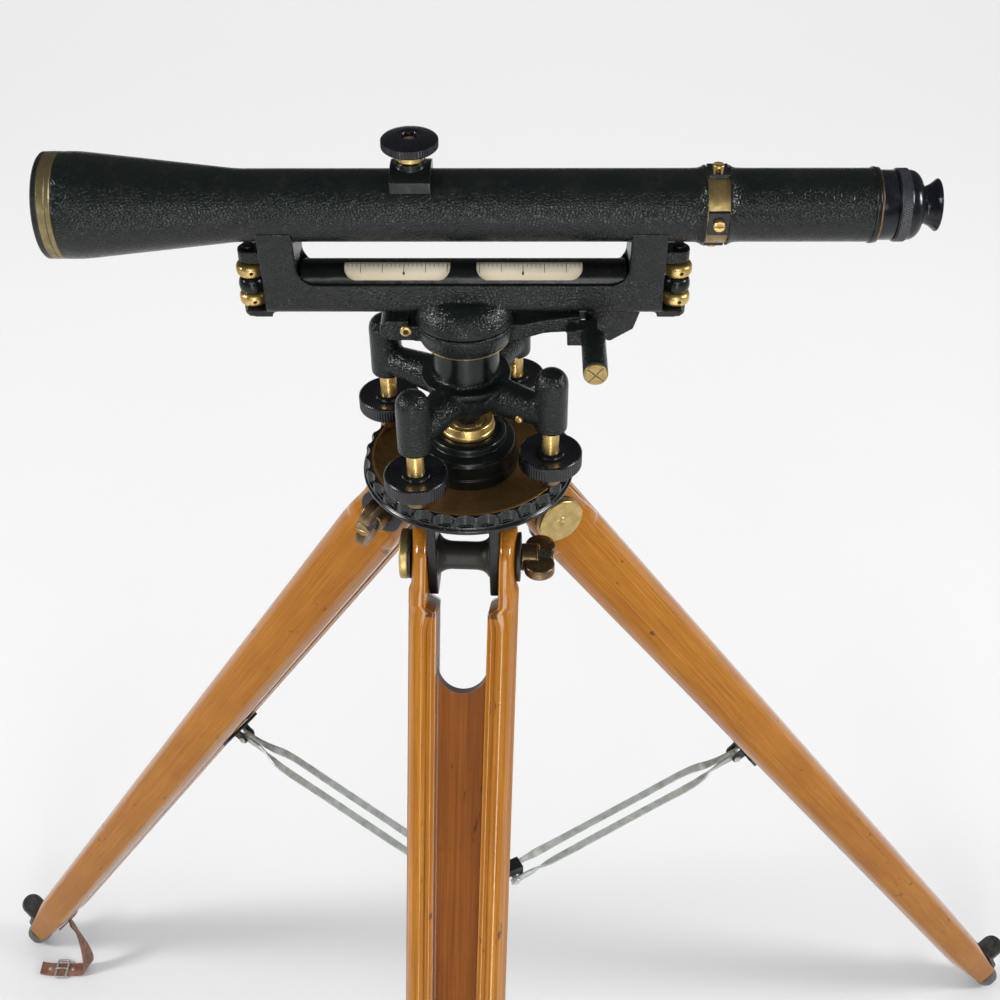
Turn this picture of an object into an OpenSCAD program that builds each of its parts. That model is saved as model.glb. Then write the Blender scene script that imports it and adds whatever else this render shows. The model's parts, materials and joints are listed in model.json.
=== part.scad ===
// Dumpy level on a four-screw levelling head and a framed wooden tripod.
// Millimetres. The origin is the station point on the ground below the
// vertical axis, +X runs along the telescope to the eyepiece, +Z is up.

/* [Tripod] */
// Length of a leg from its pivot to its point
leg_length = 1285; // [1200:5:1350]
// Angle of a leg from the vertical when the tripod stands
splay = 32; // [28:0.5:34]
// Radius of the circle that touches the three pivot axes
pivot_r = 45; // [44:0.5:47]
// Direction of the front leg, seen from above
front_azimuth = -92.5; // [-96:0.5:-88]
// Width of a leg at its pivot
leg_w_top = 67.6; // [66:0.2:70]
// Width of a leg at its shoe
leg_w_foot = 48; // [44:1:54]
// Depth of a leg
leg_depth = 41.5; // [38:0.5:43]
// Distance from a leg's pivot down to its brace bracket
bracket_s = 425; // [400:5:450]
// Slope of a brace below the horizontal
brace_slope = 9; // [6:0.5:12]

/* [Levelling head] */
// Radius of the circle of foot screws
foot_circle_r = 57.2; // [56:0.2:58]
// Direction of the first foot screw
foot_azimuth = 60; // [56:1:64]
// Radius of a foot screw's head
foot_head_r = 18.8; // [17:0.1:19.5]
// Radius of the scalloped ring's flange
ring_r = 65; // [64.5:0.5:68]
// Number of scallops on the ring
scallops = 32; // [28:1:34]

/* [Telescope] */
// Outer radius of the main tube
tube_r = 19.5; // [19.3:0.1:19.7]
// Outer radius of the objective end
bell_r = 28.6; // [27:0.1:30]
// Distance from the vertical axis to the front of the objective
objective_x = 225; // [215:1:235]
// Distance from the vertical axis to the eyecup
eyecup_x = 255; // [253:1:258]
// Height of the telescope's axis above the leg pivots
tele_rise = 214.4; // [213:0.1:216]

/* [Hidden] */
$fn = 96;
EPS = 0.01;
RUN = 0.05;       // radial clearance of a running fit
GAP = 0.3;        // clearance between moving surfaces

LEGS = ["front", "right", "left"];

// Heights. "d" heights are measured from the datum plane at the foot screws' heads.
nut_turn = [86, 62, -16];                           // how each wing nut is left standing
tip_flat = 1.5;                                     // how far a leg's point is flattened
pivot_z = leg_length * cos(splay) - tip_flat;
datum_z = pivot_z + 73;
tele_d = tele_rise - 73;                            // telescope axis
plate_rim_d = -28;
plate_low_d = -34;
ring_low_d = -39;
ball_d = -9;                                        // centre of the levelling ball
spider_d = 33;                                      // top of the spider's boss
collar_low_d = 57.4;
collar_top_d = 71.7;
hub_low_d = 72;
bar_low_d = 79;
vial_d = 96;
slow_d = 68.4;                                      // axis of the slow-motion screw

// Leg geometry, in the leg's own frame: -Z runs down the leg, +X is its outer side.
ear_in = 15.9;                                      // inner face of an ear
ear_out = 21.6;
cheek_in = 21.9;                                    // inner face of a leg's cheek
cheek_out = 32;                                     // outer face of a leg's cheek
rail_w = 17.7;
leg_top_r = 18.5;
shoulder_s = 31;
slot_end_s = 86;
taper_s = leg_length - 150;                         // where the leg starts to narrow to its foot
shoe_s = leg_length - 48;
toe_w = 22;                                         // width and depth of the leg's wood at the shoe
toe_d = 19;
toe_in = 3;                                         // half the panel's width there
tread_s = leg_length - 90;
panel_t = 12;
leg_d_foot = 40;
bracket_n = leg_depth / 2 + 9;                      // brace pin, inward from the leg's centre line
bolt_r = 5;

// Brace geometry
brace_half = 7;                                     // half the spacing of a brace's two strips
strip_w = 6;
strip_t = 2;
pin_r = 2.5;
hub_pin_r = 30;                                     // radius of the brace pins round the hub
brace_outer_r = pivot_r + bracket_s * sin(splay) - bracket_n * cos(splay);
brace_outer_z = pivot_z - bracket_s * cos(splay) - bracket_n * sin(splay);
brace_length = (brace_outer_r - hub_pin_r) / cos(brace_slope);
brace_hub_z = brace_outer_z - brace_length * sin(brace_slope);

// Instrument geometry
ball_r = 12.5;
neck_r = 8;
post_r = 9.65;
post_low_d = 13;
post_top_d = 53.6;
screw_r = 5;
head_top_d = -3.6;
head_low_d = -16.6;
axis_r = 8;
bar_half_x = 110.7;
bar_half_y = 13.5;
opening_x = 91;
wall_top_d = 99;
hub_r = 29.5;
stud_x = 118.9;
nut_r = 8.1;
vial_r = 11;
knob_x = -26.7;
slow_x = 72.5;
clamp_x = -33;
clamp_d = 69;
reticle_x = 136;
eye_flange_x = 221;

function leg_azimuth(k) = front_azimuth + 120 * k;
function foot_angle(i) = foot_azimuth + 90 * i;
function leg_w(s) = leg_w_top + (leg_w_foot - leg_w_top) * s / leg_length;
function leg_d(s) = leg_depth + (leg_d_foot - leg_depth) * s / leg_length;
// Points on an arc from angle a0 to a1
function arc(cx, cy, r, a0, a1, n = 12) =
    [for (i = [0:n]) [cx + r * cos(a0 + (a1 - a0) * i / n), cy + r * sin(a0 + (a1 - a0) * i / n)]];

module at_datum(d = 0) { translate([0, 0, datum_z + d]) children(); }
module at_leg(k) {
    rotate([0, 0, leg_azimuth(k)]) translate([pivot_r, 0, pivot_z]) rotate([0, -splay, 0]) children();
}
// A cylinder along X, Y or Z between two coordinates
module rod_x(r, x0, x1) { translate([x0, 0, 0]) rotate([0, 90, 0]) cylinder(r = r, h = x1 - x0); }
module rod_y(r, y0, y1) { translate([0, y0, 0]) rotate([-90, 0, 0]) cylinder(r = r, h = y1 - y0); }
module rod_z(r, z0, z1) { translate([0, 0, z0]) cylinder(r = r, h = z1 - z0); }
// A tube along X
module pipe_x(ro, ri, x0, x1) {
    difference() { rod_x(ro, x0, x1); rod_x(ri, x0 - 1, x1 + 1); }
}
// A tube along Z
module pipe_z(ro, ri, z0, z1) {
    difference() { rod_z(ro, z0, z1); rod_z(ri, z0 - 1, z1 + 1); }
}
module block(low, high) { translate(low) cube(high - low); }
// A turned piece on the telescope's axis: points are [x, radius]
module turned_x(points) {
    rotate([0, 90, 0]) rotate([0, 0, 90]) rotate_extrude() polygon([for (p = points) [p[1], p[0]]]);
}
// An outline drawn in x and z, from y0 to y1
module plate_xz(y0, y1) { translate([0, y1, 0]) rotate([90, 0, 0]) linear_extrude(y1 - y0) children(); }
// Small screws on the sides of the arms, grown by g
module arm_screw_set(g) {
    for (i = [0:3]) rotate([0, 0, foot_angle(i)]) translate([41, -8.6, 18.5]) {
        rod_y(2.4 + g, g > 0 ? -8 : -1.2, 1 + g);
        rod_y(1.4 + g, 0.9, 3.9 + g);
    }
}

// ---- Tripod head ----
module spool() {
    difference() {
        union() {
            rod_y(8.9, -ear_in - EPS, ear_in + EPS);
            for (side = [-1, 1]) mirror([0, side < 0 ? 1 : 0, 0]) {
                rod_y(14, ear_in, ear_out);
                block([-14, ear_in, 0], [14, ear_out, datum_z + ring_low_d - 4 - pivot_z + EPS]);
                block([-10, ear_in, -25], [10, ear_out, 0]);
            }
        }
        rod_y(bolt_r + RUN, -40, 40);
    }
}
module head_casting() {
    color([0.10, 0.11, 0.11]) {
        difference() {
            union() {
                at_datum() rod_z(60, ring_low_d - 5, ring_low_d);
                for (k = [0:2]) rotate([0, 0, leg_azimuth(k)]) translate([pivot_r, 0, pivot_z]) spool();
            }
            at_datum() rod_z(9, ring_low_d - 10, ring_low_d + 1);
        }
        // Threaded spigot that the instrument screws onto
        at_datum() pipe_z(9 - EPS, 4, ring_low_d - 5, plate_low_d + 2);
    }
}
module leg_bolts() {
    color([0.62, 0.52, 0.30]) for (k = [0:2])
        rotate([0, 0, leg_azimuth(k)]) translate([pivot_r, 0, pivot_z]) {
            rod_y(bolt_r, -34, 54.5);
            rod_y(15.5, -39, -34 + EPS);
            rod_y(3, -39.6, -39 + EPS);
            // Black washers against the cheeks
            rod_y(15.2, -34, -cheek_out - 0.2);
            rod_y(15.2, cheek_out + 0.2, 34.4);
        }
}
module wing_nut(k) {
    color([0.45, 0.34, 0.20]) rotate([0, 0, leg_azimuth(k)]) translate([pivot_r, 0, pivot_z])
        rotate([0, nut_turn[k], 0]) difference() {
            union() {
                rod_y(8.5, 34.7, 45);
                for (side = [-1, 1]) translate([0, 46, side * 9.5]) rod_x(9.2, -3.4, 3.4);
            }
            rod_y(bolt_r + RUN, 34, 60);
        }
}

// ---- Base, fixed to the tripod head ----
module base_plate() {
    color([0.50, 0.35, 0.18]) at_datum() rotate_extrude()
        polygon(concat([[12, ring_low_d + EPS], [60, ring_low_d + EPS], [60, plate_rim_d],
            [57.5, plate_rim_d]],
            [for (i = [0:6]) let (dip = plate_low_d - plate_rim_d + 1)
                [57.5 - 27 * i / 6, plate_rim_d - 1 + dip * sin(15 * i)]],
            [[12, plate_low_d]]));
}
module scalloped_ring() {
    color([0.10, 0.11, 0.11]) at_datum() difference() {
        union() {
            pipe_z(ring_r, 60.1, ring_low_d, ring_low_d + 2.8);
            pipe_z(ring_r - 1.4, 60.1, ring_low_d, plate_rim_d + 0.4);
        }
        for (i = [0:scallops - 1]) rotate([0, 0, 360 / scallops * i])
            translate([ring_r + 4.3, 0, 0]) rod_z(8.4, ring_low_d + 4.2, plate_rim_d + 1);
    }
}
module base_pillar() {
    color([0.10, 0.12, 0.11]) at_datum() difference() {
        rotate_extrude() polygon(concat(
            [[9.2, plate_low_d + 0.05], [30.5, plate_low_d + 0.05], [30.5, -17]], arc(27.5, -17, 3, 0, 90, 4),
            [[23, -14], [23, -9.5], [22, -8.5], [9.2, -8.5]]));
        translate([0, 0, ball_d]) sphere(r = ball_r + GAP);
        rod_z(9.2, plate_low_d - 1, ball_d);
    }
}
module socket_ring() {
    color([0.72, 0.58, 0.30]) at_datum() difference() {
        rod_z(16.5, -8.4, -0.6);
        translate([0, 0, ball_d]) sphere(r = ball_r + GAP);
        translate([0, 0, -3.5]) cylinder(r1 = 9.5, r2 = 13.5, h = 4);
    }
}

// ---- Legs ----
// Side outline of a leg, in x and z of the leg's frame
module leg_side() {
    plate_xz(-50, 50) polygon(concat(arc(0, 0, leg_top_r, 0, 180, 16),
        [[-leg_d(40) / 2, -40], [-leg_d(taper_s) / 2, -taper_s], [-toe_d / 2, -shoe_s],
        [toe_d / 2, -shoe_s], [leg_d(taper_s) / 2, -taper_s], [leg_d(40) / 2, -40]]));
}
module leg_rails(k) {
    color([0.76, 0.48, 0.20]) at_leg(k) difference() {
        intersection() {
            leg_side();
            for (side = [-1, 1]) mirror([0, side < 0 ? 1 : 0, 0])
                translate([-50, 0, 0]) rotate([90, 0, 90]) linear_extrude(100)
                    polygon([[cheek_in, 30], [cheek_out, 30], [cheek_out, -15.8], [leg_w(21) / 2, -21],
                        [leg_w(taper_s) / 2, -taper_s], [toe_w / 2, -shoe_s], [toe_in, -shoe_s],
                        [leg_w(taper_s) / 2 - rail_w, -taper_s],
                        [leg_w(shoulder_s) / 2 - rail_w, -shoulder_s], [cheek_in, -shoulder_s]]);
        }
        rod_y(bolt_r + RUN, -50, 50);
    }
}
module leg_panel(k) {
    color([0.58, 0.34, 0.16]) at_leg(k) translate([-panel_t / 2, 0, 0]) rotate([90, 0, 90])
        linear_extrude(panel_t) difference() {
            polygon([[-leg_w(slot_end_s - 30) / 2 + rail_w, -slot_end_s + 30],
                [leg_w(slot_end_s - 30) / 2 - rail_w, -slot_end_s + 30],
                [leg_w(taper_s) / 2 - rail_w, -taper_s], [toe_in, -shoe_s], [-toe_in, -shoe_s],
                [-leg_w(taper_s) / 2 + rail_w, -taper_s]]);
            translate([0, -slot_end_s + leg_w(slot_end_s) / 2 - rail_w + 0.3])
                circle(r = leg_w(slot_end_s) / 2 - rail_w + 0.3);
            translate([-30, -slot_end_s + leg_w(slot_end_s) / 2 - rail_w + 0.3]) square([60, 60]);
        }
}
module leg_shoe(k) {
    d = toe_d / 2;
    w = toe_w / 2;
    face = (leg_d(taper_s) / 2 - d) / (shoe_s - taper_s);   // slope of the leg's tapering side
    edge = d + face * (shoe_s - tread_s) + RUN;             // the leg's outer side at the tread
    color([0.30, 0.30, 0.28]) intersection() {
        at_leg(k) union() {
            // Cap on the leg's toe, down to the point
            intersection() {
                plate_xz(-40, 40) polygon([[-d, -shoe_s], [d, -shoe_s], [d * 0.9, -leg_length + 20],
                    [5, -leg_length + 6], [0, -leg_length - 1], [-5, -leg_length + 6],
                    [-d * 0.9, -leg_length + 20]]);
                translate([-40, 0, 0]) rotate([90, 0, 90]) linear_extrude(80)
                    polygon([[-w, -shoe_s], [w, -shoe_s], [w * 0.9, -leg_length + 20],
                        [6, -leg_length + 6], [2, -leg_length - 1], [-2, -leg_length - 1],
                        [-6, -leg_length + 6], [-w * 0.9, -leg_length + 20]]);
            }
            // Tongue up the outer side, with the tread that a boot pushes on
            plate_xz(-7, 7) polygon([[d + RUN, -shoe_s], [edge, -tread_s - 7], [edge + 5, -tread_s - 7],
                [d + 5, -shoe_s - 4], [d - 1, -shoe_s - 16], [d - 4, -shoe_s - 8]]);
            block([edge, -12.5, -tread_s - 7], [edge + 14, 12.5, -tread_s]);
            translate([edge + 14, 0, -tread_s - 7]) rod_z(12.5, 0, 7);
        }
        translate([-2000, -2000, 0]) cube([4000, 4000, 4000]);
    }
}
module brace_bracket(k) {
    color([0.20, 0.20, 0.19]) at_leg(k) translate([-leg_d(bracket_s) / 2, 0, -bracket_s]) difference() {
        union() {
            block([-2.6, -leg_w(bracket_s) / 2 + 4, -12], [-0.06, leg_w(bracket_s) / 2 - 4, 12]);
            block([-15, -brace_half + strip_t / 2 + GAP, -5], [-2, brace_half - strip_t / 2 - GAP, 5]);
        }
        translate([-bracket_n + leg_d(bracket_s) / 2, 0, 0]) rod_y(pin_r + RUN, -40, 40);
    }
}

// ---- Braces ----
// Drawn from the outer pin at the origin, +X running to the hub
module brace(k) {
    color([0.74, 0.76, 0.74]) rotate([0, 0, leg_azimuth(k)]) translate([brace_outer_r, 0, brace_outer_z])
        rotate([0, brace_slope, 180]) {
            for (side = [-1, 1]) translate([0, side * brace_half, 0]) {
                difference() {
                    union() {
                        rod_y(6, -strip_t / 2, strip_t / 2);
                        block([0, -strip_t / 2, -strip_w / 2], [26, strip_t / 2, strip_w / 2]);
                        block([22, -strip_w / 2, -strip_t / 2],
                            [brace_length - 14, strip_w / 2, strip_t / 2]);
                        block([brace_length - 22, -strip_t / 2, -4.5], [brace_length, strip_t / 2, 4.5]);
                        translate([brace_length, 0, 0]) rod_y(4.5, -strip_t / 2, strip_t / 2);
                    }
                    rod_y(pin_r - EPS, -5, 5);
                    translate([brace_length, 0, 0]) rod_y(pin_r - EPS, -5, 5);
                }
            }
            rod_y(pin_r, -brace_half - 2.5, brace_half + 2.5);
            translate([brace_length, 0, 0]) rod_y(pin_r, -brace_half - 1.5, brace_half + 1.5);
        }
}
module brace_hub() {
    lug_half = brace_half - strip_t / 2 - 0.5;
    color([0.18, 0.18, 0.17]) translate([0, 0, brace_hub_z]) {
        pipe_z(10, 4, -10, 14);
        for (k = [0:2]) rotate([0, 0, leg_azimuth(k)]) {
            block([7, -lug_half, 5], [hub_pin_r + 7.2, lug_half, 12]);
            block([hub_pin_r + 4.4, -lug_half, -3], [hub_pin_r + 7.2, lug_half, 6]);
        }
    }
}

// ---- Strap nailed round three sides of the left leg ----
strap_s = 1150;
strap_w = 20;
strap_t = 2.5;
// Path of the hanging tail, as [distance from the leg, height]
strap_path = [[0, 112], [0.5, 80], [2, 45], [1, 18], [-5, 7], [-16, 3.4], [-34, 3.2], [-62, 3.2]];
function unit(v) = v / norm(v);
function side_of(p, i) = let (d = unit(p[min(i + 1, len(p) - 1)] - p[max(i - 1, 0)])) [-d[1], d[0]];
// Outline of a band of thickness t whose outer side follows the points p
function band(p, t) = concat(p, [for (i = [len(p) - 1:-1:0]) p[i] - side_of(p, i) * t]);
module leg_strap() {
    w = leg_w(strap_s) / 2 + 0.3;
    d = leg_d(strap_s) / 2 + 0.3;
    tail_r = pivot_r + strap_s * sin(splay) - (d + strap_t + 4) / cos(splay);
    color([0.42, 0.24, 0.15]) {
        at_leg(2) translate([0, 0, -strap_s]) difference() {
            block([-d - strap_t, -w - strap_t, -strap_w / 2], [d + strap_t, w * 0.4, strap_w / 2]);
            block([-d, -w, -strap_w], [d, w, strap_w]);
        }
        translate([tail_r * cos(leg_azimuth(2)), tail_r * sin(leg_azimuth(2)), 0])
            plate_xz(-strap_w / 2, strap_w / 2) polygon(band(strap_path, strap_t));
    }
}

// ---- Levelling head ----
module levelling_ball() {
    color([0.68, 0.55, 0.30]) at_datum(ball_d) difference() {
        sphere(r = ball_r);
        rod_z(4.2, -20, 20);
        translate([0, 0, 7]) cylinder(r = 20, h = 20);
    }
}
module levelling_spider() {
    color([0.11, 0.13, 0.12]) at_datum() difference() {
        union() {
            // Boss, its flange and the tall neck under the clamp collar
            rotate_extrude() polygon([[0, 6], [12, 6], [21, 14], [24, 26], [26.2, 30], [26.2, spider_d - 1],
                [25.4, spider_d], [20.2, spider_d], [19.5, spider_d + 1.5], [19.5, collar_low_d - 3.4],
                [18.2, collar_low_d - GAP], [0, collar_low_d - GAP]]);
            rod_z(neck_r, -1.4, 8);
            for (i = [0:3]) rotate([0, 0, foot_angle(i)]) {
                translate([12, 0, 22.5]) rotate([0, 90, 0])
                    cylinder(r1 = 12.5, r2 = 8.6, h = foot_circle_r - 12);
                translate([foot_circle_r, 0, 0]) {
                    rod_z(post_r, post_low_d, post_top_d - post_r);
                    translate([0, 0, post_top_d - post_r]) sphere(r = post_r);
                }
            }
        }
        for (i = [0:3]) rotate([0, 0, foot_angle(i)]) translate([foot_circle_r, 0, 0])
            rod_z(screw_r + RUN, post_low_d - 1, 47);
        rod_z(axis_r, 26, 60);
        arm_screw_set(EPS);
    }
}
module vertical_axis() {
    color([0.66, 0.62, 0.50]) at_datum() rod_z(axis_r - EPS, 26 + EPS, 80);
}
module arm_screws() {
    color([0.72, 0.58, 0.30]) at_datum() arm_screw_set(0);
}
module foot_shoe(i) {
    color([0.60, 0.58, 0.50]) at_datum() rotate([0, 0, foot_angle(i)]) translate([foot_circle_r, 0, 0])
        difference() {
            union() {
                rod_z(6.5, -26.6, -19.2);
                translate([0, 0, -26.6 + EPS]) intersection() {
                    translate([0, 0, 20]) sphere(r = 21.1);
                    rod_z(6.5, -3, 0.5);
                }
            }
            translate([0, 0, -21.5]) sphere(r = 4.5 + RUN);
            rod_z(3.9, -20, -18);
        }
}
module foot_screw(i) {
    color([0.05, 0.05, 0.06]) at_datum() rotate([0, 0, foot_angle(i)]) translate([foot_circle_r, 0, 0]) {
        rotate_extrude() polygon([[0, head_low_d], [foot_head_r - 3, head_low_d],
            [foot_head_r, head_low_d + 3], [foot_head_r, head_top_d - 1],
            [foot_head_r - 1, head_top_d], [foot_head_r - 2.5, head_top_d], [8, head_top_d - 1.6],
            [7, head_top_d - 0.4], [0, head_top_d - 0.4]]);
        rod_z(3.2, -21.5, head_low_d + EPS);
        translate([0, 0, -21.5]) sphere(r = 4.5);
        rod_z(screw_r, head_top_d - 1, 41);
    }
}

// ---- Clamp collar and slow motion ----
module clamp_collar() {
    color([0.10, 0.12, 0.11]) at_datum() difference() {
        union() {
            rotate_extrude() polygon([[0, collar_low_d], [25.2, collar_low_d], [26, collar_low_d + 0.9],
                [28, collar_low_d + 6], [hub_r, collar_top_d - 2.5], [hub_r - 0.6, collar_top_d],
                [0, collar_top_d]]);
            // Split clamp lug on the left
            plate_xz(-12, 4) polygon(concat([[-16, 60], [-32, 62]], arc(-41.5, 68.5, 6.5, -90, -270, 10),
                [[-hub_r - 1.8, 75], [-hub_r - 1.8, 71.4], [-16, 71.4]]));
            // Arm that carries the slow-motion screw, and its fork round the lug
            plate_xz(-10, 8) polygon([[18, 57.6], [30, 60.5], [45, 65.5], [65, 67],
                [65, 77], [46, 74.5], [32, 71.4], [18, 71.4]]);
            plate_xz(-19, -8) translate([slow_x - 3, slow_d]) square([11, 11], center = true);
            plate_xz(8, 17) translate([slow_x - 3, slow_d]) square([11, 11], center = true);
            block([58, -19, slow_d - 5.5], [65, 17, slow_d + 4.5]);
        }
        rod_z(axis_r + RUN, collar_low_d - 1, collar_top_d + 1);
        translate([slow_x, 0, slow_d]) rod_y(3.2 + RUN, -30, 30);
        translate([clamp_x, 0, clamp_d]) rod_y(2.5 + RUN, -30, 2);
    }
}
module clamp_screw() {
    color([0.75, 0.60, 0.30]) at_datum() translate([clamp_x, 0, clamp_d]) {
        rod_y(2.5, -12.1, 1.6);
        rod_y(4, -14.2, -12.05);
    }
}
module spring_box() {
    color([0.10, 0.12, 0.11]) at_datum() translate([slow_x, 0, slow_d]) {
        difference() { rod_y(6.9, -52, -19 + EPS); rod_y(4.6, -50, -18); }
        rod_y(6.9, -55, -52 + EPS);
    }
}
module spring_plunger() {
    color([0.66, 0.62, 0.50]) at_datum() translate([slow_x, 0, slow_d]) {
        rod_y(3.2, -24.5, -4.2);
        rod_y(4.4, -30, -24.5 + EPS);
    }
}
module tangent_tip() {
    color([0.66, 0.62, 0.50]) at_datum() translate([slow_x, 0, slow_d]) rod_y(3.0, 4.2, 10);
}
module tangent_screw() {
    color([0.05, 0.05, 0.06]) at_datum() translate([slow_x, 0, slow_d]) {
        rod_y(3.2, 10.05, 26);
        rod_y(9.5, 25.5, 31);
        rod_y(5, 31 - EPS, 33);
    }
}

// ---- Level bar and vial ----
module level_bar() {
    color([0.11, 0.13, 0.12]) at_datum() difference() {
        union() {
            intersection() {
                // Front outline
                plate_xz(-25, 25) difference() {
                    union() {
                        translate([-bar_half_x, bar_low_d]) square([2 * bar_half_x, tele_d - bar_low_d]);
                        // Corners under the lower lugs
                        for (side = [-1, 1]) scale([side, 1]) polygon([[bar_half_x + 12, 74],
                            [bar_half_x + 2, 73.4], [bar_half_x - 12, bar_low_d],
                            [bar_half_x - 12, bar_low_d + 1.4], [bar_half_x + 12, bar_low_d + 1.4]]);
                    }
                    polygon(concat([[opening_x, tele_d]], arc(opening_x - 10, wall_top_d + 10, 10, 0, -90, 6),
                        arc(-opening_x + 10, wall_top_d + 10, 10, -90, -180, 6), [[-opening_x, tele_d]]));
                }
                // Cross-section
                translate([-130, 0, 0]) rotate([90, 0, 90]) linear_extrude(260)
                    polygon(concat(arc(-6.5, bar_low_d + 7, 7, 180, 270, 5), [[0, 70]],
                        arc(6.5, bar_low_d + 7, 7, 270, 360, 5), [[bar_half_y, 102], [18.3, 134.5],
                        [18.3, tele_d], [-18.3, tele_d], [-18.3, 134.5], [-bar_half_y, 102]]));
            }
            // Domed hub over the vertical axis
            rotate_extrude() polygon(concat([[0, hub_low_d], [hub_r - 0.6, hub_low_d]],
                arc(hub_r - 15, hub_low_d + 1.4, 15, 0, 80, 8), [[0, 86.5]]));
            // Top lugs of the vial studs, and pads of the bottom ones
            for (side = [-1, 1]) mirror([side < 0 ? 1 : 0, 0, 0]) for (d = [[108, 116], [74, 80]]) {
                block([bar_half_x - 2, -6, d[0]], [stud_x, 6, d[1]]);
                translate([stud_x, 0, 0]) rod_z(6, d[0], d[1]);
            }
            // Lug that the slow-motion screw works on
            plate_xz(-4, 4) polygon([[68.5, 80], [100, 80], [99.5, 76], [96, 64.5], [83, 56], [68.5, 62]]);
        }
        // Seat of the telescope, channel of the vial and holes of the studs
        translate([0, 0, tele_d]) rod_x(tube_r, -130, 130);
        translate([-130, -10.5, 84]) cube([260, 21, 24]);
        translate([0, 0, vial_d]) rod_x(vial_r + 1, -opening_x - 1, opening_x + 1);
        translate([-opening_x, -vial_r - 1, vial_d]) cube([2 * opening_x, 2 * vial_r + 2, 30]);
        for (side = [-1, 1]) translate([side * stud_x, 0, 0]) rod_z(2.6, 70, 120);
        rod_z(axis_r + RUN, 70, 80.5);
    }
}
module vial_tube() {
    color([0.08, 0.09, 0.09]) at_datum(vial_d) {
        difference() {
            pipe_x(vial_r, 9.2, -opening_x + 1, opening_x - 1);
            for (side = [-1, 1]) translate([side * 36, 0, 0])
                rotate([28, 0, 0]) block([-29.3, -6, 3], [29.3, 6, 20]);
        }
        for (side = [-1, 1]) mirror([side < 0 ? 1 : 0, 0, 0]) difference() {
            union() {
                rod_x(vial_r, opening_x - 6, opening_x - 1 + EPS);
                rod_x(2.6, opening_x - 2, stud_x - 5);
                translate([stud_x, 0, -2]) intersection() {
                    sphere(r = 7.6);
                    block([-10, -10, -4], [10, 10, 4]);
                }
            }
            translate([stud_x, 0, 0]) rod_z(2.6, -20, 20);
        }
    }
}
module vial_glass() {
    color([0.85, 0.87, 0.80, 0.6]) at_datum(vial_d) {
        difference() { rod_x(8.9, -80, 80); rod_x(7.4, -78, 78); }
    }
}
module vial_adjusters() {
    color([0.72, 0.56, 0.26]) at_datum() for (side = [-1, 1]) translate([side * stud_x, 0, 0]) {
        rod_z(2.58, 73, 115);
        for (d = [103, 85]) translate([0, 0, d]) difference() {
            union() { pipe_z(7, 2.59, -4.2, 4.2); pipe_z(nut_r, 2.59, -2.4, 2.4); }
            for (a = [0, 90]) rotate([0, 0, a]) rod_y(1.1, -10, 10);
        }
    }
}

// ---- Telescope ----
module telescope_tube() {
    color([0.11, 0.14, 0.13]) at_datum(tele_d) difference() {
        turned_x([[-objective_x + 10.6, 0], [-objective_x + 10.6, bell_r], [-objective_x + 20, bell_r],
            [-objective_x + 24, bell_r - 0.6], [-126, tube_r + 0.7], [-120, tube_r], [reticle_x - 10, tube_r],
            [reticle_x - 9, tube_r + 1.6], [reticle_x - 6, tube_r + 1.6], [reticle_x - 6, 0]]);
        turned_x([[-objective_x + 10, 0], [-objective_x + 10, 26.4], [-objective_x + 23, 26.4], [-126, 17.2],
            [-122, 16.8], [150, 16.8], [150, 0]]);
        translate([knob_x, 0, 0]) rod_z(5.6, 0, 40);
    }
}
module objective_cell() {
    color([0.60, 0.50, 0.28]) at_datum(tele_d)
        difference() {
            turned_x([[-objective_x + 3.3, 0], [-objective_x + 3.3, bell_r], [-objective_x + 10.6, bell_r],
                [-objective_x + 10.6, 26.35], [-objective_x + 20, 26.35], [-objective_x + 20, 0]]);
            turned_x([[-objective_x, 0], [-objective_x, 24.5], [-objective_x + 17, 24.5],
                [-objective_x + 17, 22.5], [-objective_x + 30, 22.5], [-objective_x + 30, 0]]);
        }
}
module objective_ring() {
    color([0.06, 0.06, 0.07]) at_datum(tele_d) turned_x([[-objective_x, 25.5], [-objective_x, bell_r - 0.8],
        [-objective_x + 0.8, bell_r], [-objective_x + 3.3, bell_r], [-objective_x + 3.3, 24.45],
        [-objective_x + 7.2, 24.45], [-objective_x + 7.2, 23], [-objective_x + 2.5, 23]]);
}
module objective_lens() {
    color([0.75, 0.85, 0.85, 0.5]) at_datum(tele_d) translate([-objective_x + 12, 0, 0]) {
        // Crown in front, flint behind
        intersection() {
            translate([76, 0, 0]) sphere(r = 80);
            rod_x(24.4, -8, 0.6);
        }
        rod_x(24.4, 0.7, 4.8);
    }
}
module reticle_ring() {
    color([0.66, 0.54, 0.28]) at_datum(tele_d) {
        pipe_x(tube_r + 0.4, 13, reticle_x - 6 + EPS, reticle_x + 6 - EPS);
        // Glass that carries the cross-lines
        rod_x(12.95, reticle_x - 1, reticle_x + 1);
    }
}
module reticle_screws() {
    color([0.72, 0.58, 0.30]) at_datum(tele_d) for (a = [0, 90, 180, 270])
        translate([reticle_x, 0, 0]) rotate([a, 0, 0]) {
            difference() {
                block([-4.2, -6.5, tube_r - 1], [4.2, 6.5, tube_r + 1.6]);
                rod_x(tube_r + 0.4, -10, 10);
            }
            rod_z(3.2, tube_r + 1.5, tube_r + 4.6);
        }
}
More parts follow.
